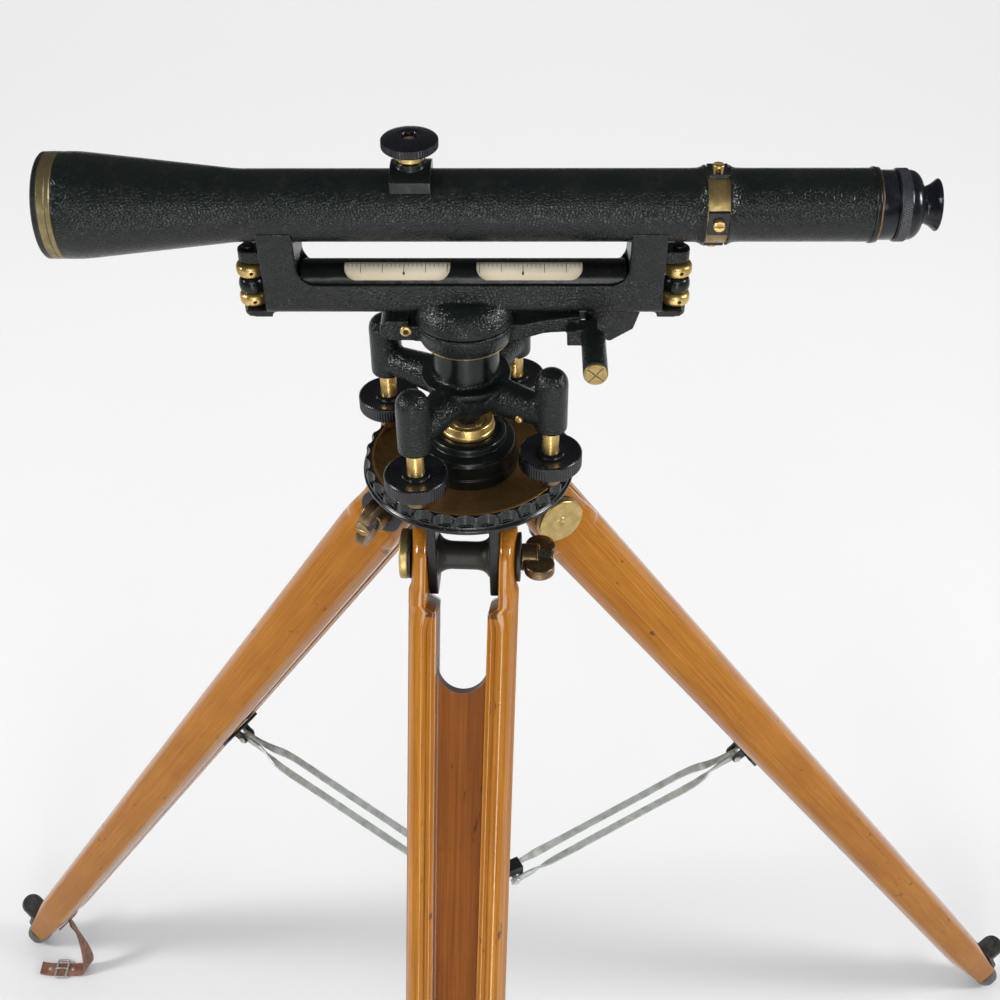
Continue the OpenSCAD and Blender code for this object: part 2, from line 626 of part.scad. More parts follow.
module eye_tube() {
    color([0.11, 0.14, 0.13]) at_datum(tele_d) {
        difference() {
            turned_x([[reticle_x + 6, 0], [reticle_x + 6, tube_r + 1.6], [reticle_x + 9, tube_r + 1.6],
                [reticle_x + 10, tube_r], [eye_flange_x - 2.4, tube_r], [eye_flange_x - 1.6, tube_r + 0.9],
                [eye_flange_x + 0.2, tube_r + 0.9], [eye_flange_x + 1, tube_r - 0.9],
                [eye_flange_x + 10, tube_r - 0.9], [eye_flange_x + 10, 0]]);
            rod_x(14.3, reticle_x, eye_flange_x - 6);
            rod_x(10.8, eye_flange_x - 7, eye_flange_x + 20);
        }
    }
}
module eyepiece_ring() {
    x0 = eye_flange_x + 10.2;
    color([0.05, 0.06, 0.09]) at_datum(tele_d) difference() {
        turned_x(concat([[x0, 0], [x0, tube_r - 0.4], [x0 + 0.6, tube_r], [x0 + 6.2, tube_r],
            [x0 + 6.8, tube_r - 0.8], [x0 + 7.6, tube_r - 0.9]],
            arc(x0 + 7.6, tube_r - 7.4, 6.5, 90, 20, 6), [[x0 + 14, 0]]));
        rod_x(10.8, x0 - 1, x0 + 30);
    }
}
module eyepiece_barrel() {
    color([0.05, 0.06, 0.09]) at_datum(tele_d) {
        difference() {
            turned_x([[190, 0], [190, 10.5], [eyecup_x - 4.6, 10.5], [eyecup_x - 2.2, 12.4],
                [eyecup_x - 0.6, 14.2], [eyecup_x, 14], [eyecup_x, 12.6], [eyecup_x - 1.6, 8],
                [eyecup_x - 1.6, 0]]);
            rod_x(7, 185, eyecup_x + 1);
            rod_x(8.6, 200, eyecup_x - 7);
        }
        // Eye lens and field lens
        for (x = [192, eyecup_x - 6]) rod_x(6.99, x, x + 3);
    }
}

// ---- Focusing ----
rack_pitch = 2.5;
pinion_teeth = 12;
pinion_r = rack_pitch * pinion_teeth / (2 * PI);
pinion_low = 9;
pinion_high = 13.5;
module focus_mount() {
    color([0.10, 0.12, 0.11]) at_datum(tele_d) translate([knob_x, 0, 0]) difference() {
        union() {
            intersection() {
                block([-11, -14, 10], [11, 14, 24.6]);
                rod_x(24.6, -11, 11);
            }
            rod_z(8.2, 20, 27.2);
        }
        rod_x(tube_r, -20, 20);
        rod_z(3 + RUN, 0, 40);
    }
}
module focus_knob() {
    color([0.05, 0.05, 0.06]) at_datum(tele_d) translate([knob_x, 0, 0]) {
        rod_z(3, pinion_high - EPS, 32);
        // Capstan collar of the pinion, then the knob
        rod_z(7.8, 27.5, 33);
        difference() {
            rotate_extrude() polygon(concat([[0, 33 - EPS], [13.6, 33 - EPS], [15.3, 34.6], [15.3, 38.6]],
                arc(13.3, 38.4, 2, 0, 90, 4), [[6, 41.4], [5, 40.4], [0, 40.4]]));
            rod_z(4.2, 38.5, 45);
        }
        for (i = [0:pinion_teeth - 1]) rotate([0, 0, 360 / pinion_teeth * i])
            translate([0, 0, pinion_low]) linear_extrude(pinion_high - pinion_low)
                polygon([[0, -0.5], [pinion_r - 1, -0.5], [pinion_r + 0.7, -0.22], [pinion_r + 0.7, 0.22],
                    [pinion_r - 1, 0.5], [0, 0.5]]);
        rod_z(pinion_r - 1, pinion_low, pinion_high);
    }
}
module focus_slide() {
    color([0.66, 0.62, 0.50]) at_datum(tele_d) translate([knob_x, 0, 0]) {
        // Tube with a slot for the pinion
        difference() {
            pipe_x(16.5, 15, -34, 50);
            block([-22, -9, 8], [22, 9, 20]);
        }
        // Rack beside the pinion, joined to the tube at both ends of the slot
        translate([0, pinion_r, 9.5]) linear_extrude(3.5) difference() {
            translate([-26, -0.7]) square([52, 4.3]);
            for (i = [-9:9]) translate([rack_pitch * i, 0])
                polygon([[-0.85, -1], [0.85, -1], [0.55, 1.05], [-0.55, 1.05]]);
        }
        for (x = [-26, 23]) intersection() {
            block([x, 5, 9.5], [x + 3, 12, 13]);
            rod_x(16.4, -40, 40);
        }
        // Negative lens of the internal focusing system
        rod_x(15.01, -32, -29);
    }
}

head_casting();
leg_bolts();
base_plate();
scalloped_ring();
base_pillar();
socket_ring();
brace_hub();
leg_strap();
for (k = [0:2]) {
    wing_nut(k);
    leg_rails(k);
    leg_panel(k);
    leg_shoe(k);
    brace_bracket(k);
    brace(k);
}
levelling_ball();
levelling_spider();
vertical_axis();
arm_screws();
for (i = [0:3]) {
    foot_shoe(i);
    foot_screw(i);
}
clamp_collar();
clamp_screw();
spring_box();
spring_plunger();
tangent_tip();
tangent_screw();
level_bar();
vial_tube();
vial_glass();
vial_adjusters();
telescope_tube();
objective_cell();
objective_ring();
objective_lens();
reticle_ring();
reticle_screws();
eye_tube();
eyepiece_ring();
eyepiece_barrel();
focus_mount();
focus_knob();
focus_slide();
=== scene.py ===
import json
import math

import bmesh
import bpy
from mathutils import Matrix, Vector


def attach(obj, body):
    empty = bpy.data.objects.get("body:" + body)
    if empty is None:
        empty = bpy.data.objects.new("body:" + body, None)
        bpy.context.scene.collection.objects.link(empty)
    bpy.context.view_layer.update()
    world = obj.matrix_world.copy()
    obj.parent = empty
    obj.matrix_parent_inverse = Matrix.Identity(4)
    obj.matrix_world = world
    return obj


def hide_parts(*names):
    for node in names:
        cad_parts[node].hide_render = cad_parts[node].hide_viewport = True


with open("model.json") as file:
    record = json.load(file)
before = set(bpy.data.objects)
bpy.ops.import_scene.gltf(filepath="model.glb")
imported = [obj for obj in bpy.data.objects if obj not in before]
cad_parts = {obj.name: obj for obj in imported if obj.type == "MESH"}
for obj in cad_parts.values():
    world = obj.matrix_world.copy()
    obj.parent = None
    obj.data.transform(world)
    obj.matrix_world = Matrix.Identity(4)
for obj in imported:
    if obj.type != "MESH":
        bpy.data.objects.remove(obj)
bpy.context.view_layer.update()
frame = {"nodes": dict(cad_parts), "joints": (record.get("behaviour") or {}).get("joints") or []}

# Shapes are drawn in millimetres, in a place of their own, and each place puts them
# into the row frame in metres.
MM = 0.001
TAU = 2 * math.pi
joints = {j["name"]: Vector(j["pos_m"]) / MM for j in frame["joints"] if "pos_m" in j}
joint_axis = {j["name"]: Vector(j["axis"]) for j in frame["joints"]}
DATUM = joints["tilt_a"].z + 9          # plane of the foot screws' heads
SIGHT = joints["eyepiece_ring_turn"].z  # telescope's axis
PIVOT = joints["front_leg_fold"]
PIVOT_R = math.hypot(PIVOT.x, PIVOT.y)
VIAL = DATUM + 96
LEGS = ("front", "right", "left")
SPLAY = math.radians(32)
LEG_LENGTH = 1285


def turn(axis, degrees):
    """A rotation about an axis."""
    return Matrix.Rotation(math.radians(degrees), 4, axis)


def at(x=0.0, y=0.0, z=0.0, *turns):
    """A place at that point in the row frame, turned in the order given."""
    made = Matrix.Translation(Vector((x, y, z)) * MM)
    for one in turns:
        made = made @ one
    return made @ Matrix.Scale(MM, 4)


def inside(place, x=0.0, y=0.0, z=0.0, *turns):
    """A place within another place."""
    made = place @ Matrix.Translation((x, y, z))
    for one in turns:
        made = made @ one
    return made


Z_TO_X = turn("Y", 90)
Z_TO_Y = turn("X", -90)


def azimuth(leg):
    """The direction of a leg seen from above, in degrees from X."""
    axis = joint_axis[leg + "_leg_fold"]
    return math.degrees(math.atan2(-axis.x, axis.y))


def head_place(leg):
    """At a leg's pivot: X points outward, Y along the bolt, Z up."""
    return inside(at(0, 0, PIVOT.z, turn("Z", azimuth(leg))), PIVOT_R)


def leg_place(leg):
    """At a leg's pivot, with -Z running down the leg."""
    return inside(head_place(leg), 0, 0, 0, Matrix.Rotation(-SPLAY, 4, "Y"))


# ---------------------------------------------------------------- materials


class Skin:
    """One procedural material, whose textures work in millimetres."""

    def __init__(self, name, slot, own_axes=False, **sockets):
        self.material = bpy.data.materials.new(name)
        self.material.use_nodes = True
        self.material["record_slot"] = slot
        self.tree = self.material.node_tree
        self.shader = self.tree.nodes["Principled BSDF"]
        for socket, value in sockets.items():
            self.shader.inputs[socket.replace("_", " ")].default_value = value
        if own_axes:
            attribute = self.tree.nodes.new("ShaderNodeAttribute")
            attribute.attribute_name = "local"
            self.where = attribute.outputs["Vector"]
        else:
            coordinates = self.tree.nodes.new("ShaderNodeTexCoord").outputs["Object"]
            self.where = self.node("VectorMath", coordinates, operation="SCALE", Scale=1 / MM)
        self.height = None

    def feed(self, socket, value):
        if isinstance(value, bpy.types.NodeSocket):
            self.tree.links.new(value, socket)
        else:
            socket.default_value = value

    def node(self, kind, *values, out=0, **settings):
        made = self.tree.nodes.new("ShaderNode" + kind)
        for key, value in settings.items():
            if key[0].islower():
                setattr(made, key, value)
            else:
                self.feed(made.inputs[key.replace("_", " ")], value)
        for socket, value in zip(made.inputs, values):
            if value is not None:
                self.feed(socket, value)
        return made.outputs[out]

    def math(self, operation, *values):
        return self.node("Math", *values, operation=operation)

    def stretched(self, x, y, z):
        return self.node("VectorMath", self.where, (x, y, z), operation="MULTIPLY")

    def noise(self, scale, detail=3.0, roughness=0.55, vector=None, distortion=0.0):
        return self.node(
            "TexNoise", Vector=vector or self.where, Scale=scale, Detail=detail, Roughness=roughness,
            Distortion=distortion)

    def ramp(self, value, *stops):
        made = self.tree.nodes.new("ShaderNodeValToRGB")
        self.feed(made.inputs[0], value)
        elements = made.color_ramp.elements
        while len(elements) < len(stops):
            elements.new(0.5)
        for element, (position, colour) in zip(elements, stops):
            element.position = position
            grey = isinstance(colour, (int, float))
            element.color = (colour, colour, colour, 1) if grey else (*colour, 1)
        return made.outputs[0]

    def mix(self, factor, one, two, blend="MIX"):
        def colour(value):
            return (*value, 1) if isinstance(value, tuple) else value

        return self.node("MixRGB", factor, colour(one), colour(two), blend_type=blend)

    def edges(self, radius, low=0.02, high=0.25):
        """1 along sharp convex and concave edges, 0 elsewhere."""
        soft = self.node("Bevel", samples=3, Radius=radius * MM)
        true = self.tree.nodes.new("ShaderNodeNewGeometry").outputs["Normal"]
        along = self.node("VectorMath", soft, true, operation="DOT_PRODUCT", out="Value")
        return self.node("MapRange", along, 1 - low, 1 - high, 0.0, 1.0)

    def bump(self, height, depth):
        """Adds relief of that depth in millimetres."""
        made = self.tree.nodes.new("ShaderNodeBump")
        self.feed(made.inputs["Height"], height)
        made.inputs["Distance"].default_value = depth * MM
        if self.height is not None:
            self.tree.links.new(self.height, made.inputs["Normal"])
        self.height = made.outputs[0]

    def done(self, colour=None, roughness=None, metallic=None):
        for socket, value in (
            ("Base Color", colour), ("Roughness", roughness), ("Metallic", metallic),
            ("Normal", self.height)):
            if value is not None:
                self.tree.links.new(value, self.shader.inputs[socket])
        return self.material


def enamel(name, grain):
    """Black-green stoved enamel, with a leather grain of that depth unless it is 0, and a painted sheen
    on the grain's cell tops.
    """
    skin = Skin(name, "enamel", Specular_IOR_Level=0.30)
    patches = skin.noise(0.035, 4)
    colour = skin.ramp(patches, (0.35, (0.0022, 0.0038, 0.0037)), (0.68, (0.0042, 0.0060, 0.0054)))
    smoke = skin.ramp(skin.noise(0.12, 5), (0.55, 0.0), (0.8, 0.55))
    colour = skin.mix(smoke, colour, (0.016, 0.014, 0.008))
    chips = skin.ramp(skin.noise(0.9, 3), (0.5, 0.0), (0.62, 1.0))
    worn = skin.math("MULTIPLY", skin.edges(0.45), chips)
    colour = skin.mix(worn, colour, (0.22, 0.17, 0.09))
    if grain:
        drift = skin.node("TexNoise", Vector=skin.where, Scale=0.5, out=1)
        wander = skin.node("MixRGB", 0.35, skin.where, drift)
        cells = skin.node(
            "TexVoronoi", feature="DISTANCE_TO_EDGE", Vector=wander, Scale=0.9, Randomness=1.0)
        pebbles = skin.ramp(cells, (0.0, 0.0), (0.16, 0.75), (0.34, 1.0))
        skin.bump(pebbles, grain)
        # Painted sheen: the middles of the grain's cells are painted lighter than the cracks between
        # them.
        colour = skin.mix(skin.ramp(cells, (0.0, 0.0), (0.3, 0.25)), colour, (0.008, 0.015, 0.014))
    skin.bump(skin.noise(0.7, 3), 0.05)
    skin.bump(skin.noise(0.06, 2), 0.5)
    rough = skin.ramp(skin.noise(0.25, 4), (0.3, 0.20), (0.75, 0.30))
    return skin.done(colour, rough)


def painted(name, slot, colour, shine, worn_and_glint_colour, wear, gloss=0.35):
    """Plain black paint or lacquer with handling marks and bare edges; on the scalloped ring the bright
    edges are partly a painted highlight.
    """
    skin = Skin(name, slot, Specular_IOR_Level=gloss)
    dark = tuple(0.6 * c for c in colour)
    base = skin.ramp(skin.noise(0.08, 4), (0.3, dark), (0.7, colour))
    chips = skin.ramp(skin.noise(1.1, 3), (0.62 - wear * 0.25, 0.0), (0.7, 1.0))
    # The bare-edge colour is wear; on the scalloped ring it also serves as a painted highlight.
    bare = skin.math("MULTIPLY", skin.edges(0.5), chips)
    base = skin.mix(bare, base, worn_and_glint_colour)
    scuffs = skin.ramp(skin.noise(0.5, 6, 0.7), (0.58, 0.0), (0.72, 0.3 * wear))
    base = skin.mix(scuffs, base, worn_and_glint_colour)
    skin.bump(skin.noise(1.6, 4), 0.03)
    rough = skin.ramp(skin.noise(0.4, 5), (0.3, shine), (0.75, shine + 0.16))
    return skin.done(base, rough)


def turned_brass(name, slot, bright, dull, tarnish, shine=0.26):
    """Brass from the lathe, brushed round its own axis and tarnished in patches."""
    skin = Skin(name, slot, own_axes=True, Metallic=0.92)
    station = skin.node("SeparateXYZ", skin.where, out=2)
    radius = skin.node("VectorMath", skin.stretched(1, 1, 0), operation="LENGTH", out="Value")
    lines = skin.noise(5.0, 2, 0.5, skin.node("CombineXYZ", radius, station, 0.0))
    patches = skin.noise(0.16, 5, 0.62)
    cover = skin.ramp(patches, (0.5 - 0.3 * tarnish, 0.0), (0.85 - 0.25 * tarnish, 1.0))
    colour = skin.mix(cover, bright, dull)
    colour = skin.mix(0.35, colour, skin.ramp(lines, (0.3, 0.25), (0.7, 1.0)), "MULTIPLY")
    specks = skin.ramp(skin.noise(1.4, 2), (0.68, 0.0), (0.74, 0.8))
    colour = skin.mix(specks, colour, (0.035, 0.025, 0.012))
    skin.bump(lines, 0.035)
    rough = skin.ramp(patches, (0.3, shine), (0.7, shine + 0.2))
    return skin.done(colour, rough)


def timber(name, slot, pale, mid, deep, figure, bare, varnished):
    """Timber whose grain runs along the leg.

    bare picks out dark end grain, and varnished is the range across the leg over which
    the varnish sets in.
    """
    skin = Skin(name, slot, own_axes=True, Specular_IOR_Level=0.05, Coat_Roughness=0.10)
    along = skin.stretched(1.0, 1.0, 0.022)
    drift = skin.node("TexNoise", Vector=skin.stretched(0.05, 0.05, 0.01), Scale=1.0, out=1)
    wander = skin.node("MixRGB", 0.5, along, drift, blend_type="ADD")
    streaks = skin.noise(0.55, 6, 0.62, wander, 0.25)
    colour = skin.ramp(streaks, (0.18, deep), (0.48, mid), (0.86, pale))
    rings = skin.node(
        "TexWave", Vector=skin.stretched(1.0, 0.35, 0.014), Scale=figure, Distortion=5.0, Detail=3.0,
        Detail_Scale=0.6, bands_direction="X")
    colour = skin.mix(skin.ramp(rings, (0.0, 0.38), (0.35, 0.0)), colour, deep)
    pores = skin.noise(2.6, 2, 0.5, skin.stretched(1.0, 1.0, 0.06))
    colour = skin.mix(skin.ramp(pores, (0.66, 0.0), (0.75, 0.6)), colour, tuple(0.35 * c for c in deep))
    dents = skin.noise(0.13, 3, 0.5, skin.stretched(1.0, 1.0, 0.35))
    colour = skin.mix(skin.ramp(dents, (0.685, 0.0), (0.72, 0.75)), colour, (0.05, 0.02, 0.008))
    shade = skin.noise(0.012, 3)
    colour = skin.mix(skin.ramp(shade, (0.35, 0.0), (0.7, 0.3)), colour, deep)
    grime = skin.math(
        "MULTIPLY", skin.edges(0.9), skin.ramp(skin.noise(0.2, 3), (0.5, 0.0), (0.7, 0.6)))
    colour = skin.mix(grime, colour, (0.06, 0.025, 0.01))
    colour = skin.mix(bare(skin), colour, tuple(0.45 * c for c in deep))
    across = skin.math("ABSOLUTE", skin.node("SeparateXYZ", skin.where, out=0))
    varnish = skin.node("MapRange", across, *varnished, 0.06, 1.0)
    skin.tree.links.new(varnish, skin.shader.inputs["Coat Weight"])
    skin.bump(streaks, 0.05)
    skin.bump(skin.noise(0.02, 2, 0.5, skin.stretched(1, 1, 0.2)), 0.35)
    skin.bump(skin.ramp(dents, (0.66, 1.0), (0.72, 0.0)), 0.2)
    rough = skin.ramp(streaks, (0.3, 0.34), (0.7, 0.48))
    return skin.done(colour, rough)


def panel_edges(skin):
    """The sawn edges of a leg's panel."""
    across = skin.math("ABSOLUTE", skin.node("SeparateXYZ", skin.where, out=0))
    return skin.node("MapRange", across, 5.8, 5.2, 0.0, 0.9)


def rail_shoulders(skin):
    """The ledges cut across a leg's rails below the pivot."""
    side = skin.math("ABSOLUTE", skin.node("SeparateXYZ", skin.where, out=1))
    down = skin.node("SeparateXYZ", skin.where, out=2)
    near = skin.node(
        "MapRange", skin.math("ABSOLUTE", skin.math("ADD", down, 31.5)), 4.0, 3.0, 0.0, 1.0)
    return skin.math("MULTIPLY", near, skin.node("MapRange", side, 22.5, 21.5, 0.0, 0.9))


def steel(name, slot, pale, dark, metallic, grain, shine):
    """Bare or plated ferrous metal with blotches and scratches."""
    skin = Skin(name, slot, Metallic=metallic)
    blotches = skin.noise(0.12, 6, 0.65)
    colour = skin.ramp(blotches, (0.3, dark), (0.65, pale))
    scratches = skin.noise(1.2, 4, 0.7, skin.stretched(1, 1, 0.2))
    colour = skin.mix(skin.ramp(scratches, (0.62, 0.0), (0.72, 0.5)), colour, dark)
    skin.bump(skin.noise(0.8, 5, 0.6), grain)
    rough = skin.ramp(blotches, (0.3, shine + 0.12), (0.7, shine))
    return skin.done(colour, rough)


def hide(name, slot):
    """Brown harness leather, cracked and darkened at its edges."""
    skin = Skin(name, slot, Sheen_Weight=0.08)
    colour = skin.ramp(skin.noise(0.07, 5), (0.3, (0.11, 0.040, 0.022)), (0.7, (0.27, 0.115, 0.070)))
    creases = skin.node("TexVoronoi", feature="DISTANCE_TO_EDGE", Vector=skin.where, Scale=0.5)
    colour = skin.mix(skin.ramp(creases, (0.0, 0.5), (0.08, 0.0)), colour, (0.05, 0.02, 0.012))
    skin.bump(skin.ramp(creases, (0.0, 0.0), (0.12, 1.0)), 0.12)
    skin.bump(skin.noise(1.5, 4), 0.1)
    rough = skin.ramp(skin.noise(0.4, 3), (0.3, 0.5), (0.7, 0.72))
    return skin.done(colour, rough)


def ivory(name, slot):
    """Pale backing of the vial seen through its glass and spirit, with painted shade darkening it
    towards the bottom.
    """
    skin = Skin(name, slot, Coat_Weight=1.0, Coat_Roughness=0.03, Roughness=0.6)
    # Painted shade: the backing's colour darkens from the top of the vial down.
    depth = skin.node("SeparateXYZ", skin.where, out=2)
    shade = skin.node("MapRange", depth, VIAL + 2.0, VIAL + 8.5, 0.0, 1.0)
    colour = skin.ramp(
        shade, (0.0, (0.50, 0.38, 0.22)), (0.45, (0.62, 0.53, 0.37)), (1.0, (0.70, 0.65, 0.52)))
    colour = skin.mix(
        skin.ramp(skin.noise(0.08, 3), (0.4, 0.0), (0.75, 0.3)), colour, (0.55, 0.42, 0.28))
    skin.bump(skin.noise(0.3, 2), 0.02)
    return skin.done(colour)


def ink_and_shade(name, slot):
    """Matt black print, also used as painted shade inside holes."""
    skin = Skin(name, slot, Roughness=0.55)
    return skin.done(skin.ramp(skin.noise(2.0, 2), (0.3, 0.012), (0.7, 0.03)))


def optical_glass(name):
    """Bloomed glass with a faint green tint."""
    skin = Skin(name, "lens_glass", Transmission_Weight=0.85, IOR=1.52, Roughness=0.02, Coat_Weight=0.4)
    tint = skin.ramp(skin.noise(0.02, 2), (0.3, (0.55, 0.72, 0.70)), (0.7, (0.70, 0.82, 0.86)))
    return skin.done(tint)


LEATHERED = enamel("leathered_enamel", 0.15)
PLAIN_ENAMEL = enamel("plain_enamel", 0.0)
BLACK_IRON = painted(
    "black_iron", "black_iron", (0.0065, 0.0078, 0.0080), 0.28, (0.24, 0.22, 0.17), 1.0)
SPOOL_IRON = painted(
    "rubbed_iron", "black_iron", (0.024, 0.022, 0.017), 0.36, (0.14, 0.115, 0.075), 1.0)
EBONITE = painted("ebonite", "ebonite", (0.0040, 0.0045, 0.0065), 0.17, (0.05, 0.05, 0.055), 0.3, 0.42)
# Painted highlight: the ring's bright grey edges stand partly for wear and partly for light glinting
# along the scallops' rims.
RING_IRON = painted(
    "ring_iron", "black_iron", (0.0035, 0.0050, 0.0050), 0.14, (0.34, 0.34, 0.32), 1.0, 0.40)
LACQUER = painted(
    "blue_black_lacquer", "eyepiece_black", (0.0055, 0.0065, 0.0105), 0.14, (0.16, 0.13, 0.10), 0.35)
# The knurl's lacquer is painted lighter than the grip's: partly rubbed lacquer, partly a painted sheen
# for light glinting on its facets.
KNURLED = painted(
    "knurled_lacquer", "eyepiece_black", (0.020, 0.022, 0.027), 0.22, (0.16, 0.15, 0.14), 1.0, 0.6)
DULL_BRASS = turned_brass(
    "dull_brass", "aged_brass", (0.36, 0.29, 0.15), (0.19, 0.155, 0.08), 0.7, 0.30)
DISC_BRASS = turned_brass("disc_brass", "aged_brass", (0.58, 0.43, 0.17), (0.40, 0.29, 0.11), 0.6, 0.24)
AGED_BRASS = turned_brass(
    "aged_brass", "aged_brass", (0.50, 0.37, 0.16), (0.22, 0.16, 0.065), 0.7, 0.32)
BRIGHT_BRASS = turned_brass(
    "bright_brass", "bright_brass", (0.78, 0.54, 0.20), (0.40, 0.26, 0.09), 0.3, 0.22)
BRONZE_PLATE = turned_brass(
    "bronze_plate", "plate_bronze", (0.52, 0.31, 0.115), (0.30, 0.165, 0.055), 0.9, 0.36)
HANDLED_BRONZE = turned_brass(
    "handled_bronze", "nut_bronze", (0.34, 0.225, 0.12), (0.13, 0.085, 0.045), 0.8, 0.20)
BELL_METAL = turned_brass("bell_metal", "bell_metal", (0.62, 0.56, 0.38), (0.34, 0.28, 0.16), 0.5, 0.26)
ASH = timber(
    "varnished_ash", "ash", (0.45, 0.205, 0.032), (0.325, 0.125, 0.013), (0.19, 0.060, 0.006), 0.16,
    rail_shoulders, (13.0, 17.0))
PANEL = timber(
    "varnished_panel", "mahogany", (0.36, 0.130, 0.018), (0.245, 0.077, 0.010), (0.13, 0.033, 0.004),
    0.22, panel_edges, (5.2, 5.8))
SHOE_IRON = steel("worn_iron", "shoe_iron", (0.095, 0.095, 0.088), (0.03, 0.03, 0.028), 0.6, 0.22, 0.42)
ZINC = steel("zinc_steel", "zinc_steel", (0.50, 0.53, 0.50), (0.27, 0.29, 0.27), 0.5, 0.06, 0.28)
LEATHER = hide("harness_leather", "leather")
IVORY = ivory("vial_backing", "lens_glass")
INK_AND_SHADE = ink_and_shade("black_ink_and_shade", "lens_glass")
GLASS = optical_glass("optical_glass")


# ---------------------------------------------------------------- shapes


def add_piece(name, verts, faces, place, body, skin, stands_for=(), sharp=35):
    """A mesh drawn in a place's millimetres, riding on a body."""
    mesh = bpy.data.meshes.new(name)
    mesh.from_pydata([place @ Vector(v) for v in verts], [], faces)
    own = mesh.attributes.new("local", "FLOAT_VECTOR", "POINT")
    own.data.foreach_set("vector", [c for v in verts for c in v])
    shell = bmesh.new()
    shell.from_mesh(mesh)
    bmesh.ops.remove_doubles(shell, verts=shell.verts, dist=1e-7)
    bmesh.ops.recalc_face_normals(shell, faces=shell.faces)
    shell.to_mesh(mesh)
    shell.free()
    mesh.shade_smooth()
    mesh.set_sharp_from_angle(angle=math.radians(sharp))
    return register(name, mesh, body, skin, stands_for)


def register(name, mesh, body, skin, stands_for=()):
    """Hands a mesh over to the frame, with its body and the nodes it replaces."""
    made = bpy.data.objects.new(name, mesh)
    bpy.context.scene.collection.objects.link(made)
    mesh.materials.clear()
    mesh.materials.append(skin)
    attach(made, body)
    if stands_for:
        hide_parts(*([stands_for] if isinstance(stands_for, str) else stands_for))
    return made


def eased(points, radius, closed=False, steps=4):
    """The points with every corner rounded off."""
    made = []
    for i, corner in enumerate(points):
        corner = Vector(corner)
        if not closed and i in (0, len(points) - 1):
            made.append(corner)
            continue
        before = Vector(points[i - 1]) - corner
        after = Vector(points[(i + 1) % len(points)]) - corner
        start = corner + before.normalized() * min(radius, before.length * 0.45)
        end = corner + after.normalized() * min(radius, after.length * 0.45)
        for step in range(steps + 1):
            t = step / steps
            made.append(start * (1 - t) ** 2 + corner * 2 * t * (1 - t) + end * t * t)
    return [tuple(p) for p in made]


def lathe(name, profile, place, body, skin, stands_for=(), steps=96, ripple=None, sharp=35):
    """A turned piece: profile points are (distance along the axis, radius)."""
    verts, faces, rings = [], [], []
    for s, r in profile:
        count = 1 if r < 1e-6 else steps
        rings.append(range(len(verts), len(verts) + count))
        for i in range(count):
            angle = TAU * i / steps
            reach = r + (ripple(s, angle) if ripple and count > 1 else 0)
            verts.append((reach * math.cos(angle), reach * math.sin(angle), s))
    closed = profile[0][1] > 1e-6 and profile[-1][1] > 1e-6
    pairs = list(zip(rings, rings[1:])) + ([(rings[-1], rings[0])] if closed else [])
    for low, high in pairs:
        for i in range(steps):
            j = (i + 1) % steps
            corners = [low[i % len(low)], low[j % len(low)], high[j % len(high)], high[i % len(high)]]
            face = list(dict.fromkeys(corners))
            if len(face) > 2:
                faces.append(face)
    return add_piece(name, verts, faces, place, body, skin, stands_for, sharp)


def tube_faces(count, rows, first=0):
    """Faces round rows of that many points each, closed at both ends."""
    last = first + count * (rows - 1)
    faces = [[first + i for i in range(count)][::-1], [last + i for i in range(count)]]
    for row in range(first, last, count):
        for i in range(count):
            j = (i + 1) % count
            faces.append([row + i, row + j, row + j + count, row + i + count])
    return faces


def sweep(name, loops, place, body, skin, stands_for=(), sharp=40):
    """A skin over a row of closed loops with equal numbers of points."""
    verts = [tuple(p) for loop in loops for p in loop]
    return add_piece(
        name, verts, tube_faces(len(loops[0]), len(loops)), place, body, skin, stands_for, sharp)


def prism(name, outline, low, high, place, body, skin, stands_for=(), bevel=0.5):
    """An outline in X and Y drawn out along Z, with softened edges."""
    ends = [[(x, y, z) for x, y in outline] for z in (low, high)]
    made = sweep(name, ends, place, body, skin, stands_for, sharp=180)
    soften(made, bevel)
    return made


def soften(made, bevel, segments=3):
    """Rounds a piece's sharp edges."""
    edge = made.modifiers.new("edge", "BEVEL")
    edge.width = bevel * MM
    edge.segments = segments
    edge.limit_method = "ANGLE"
    edge.angle_limit = math.radians(38)
    made.modifiers.new("normals", "WEIGHTED_NORMAL").keep_sharp = True


def rectangle(half_x, half_y):
    """The corners of a rectangle about the origin."""
    return [(-half_x, -half_y), (half_x, -half_y), (half_x, half_y), (-half_x, half_y)]


def hoop(low, high, outer, inner=0):
    """A turned piece's profile: a plain band, or a rod."""
    return [(low, inner), (low, outer), (high, outer), (high, inner)]


def arc(x, y, radius, start, end, steps=12):
    """Points along an arc, its angles in degrees."""
    angles = [math.radians(start + (end - start) * i / steps) for i in range(steps + 1)]
    return [(x + radius * math.cos(a), y + radius * math.sin(a)) for a in angles]


def evaluated(made):
    """The object's mesh with its modifiers applied."""
    graph = bpy.context.evaluated_depsgraph_get()
    return bpy.data.meshes.new_from_object(made.evaluated_get(graph))


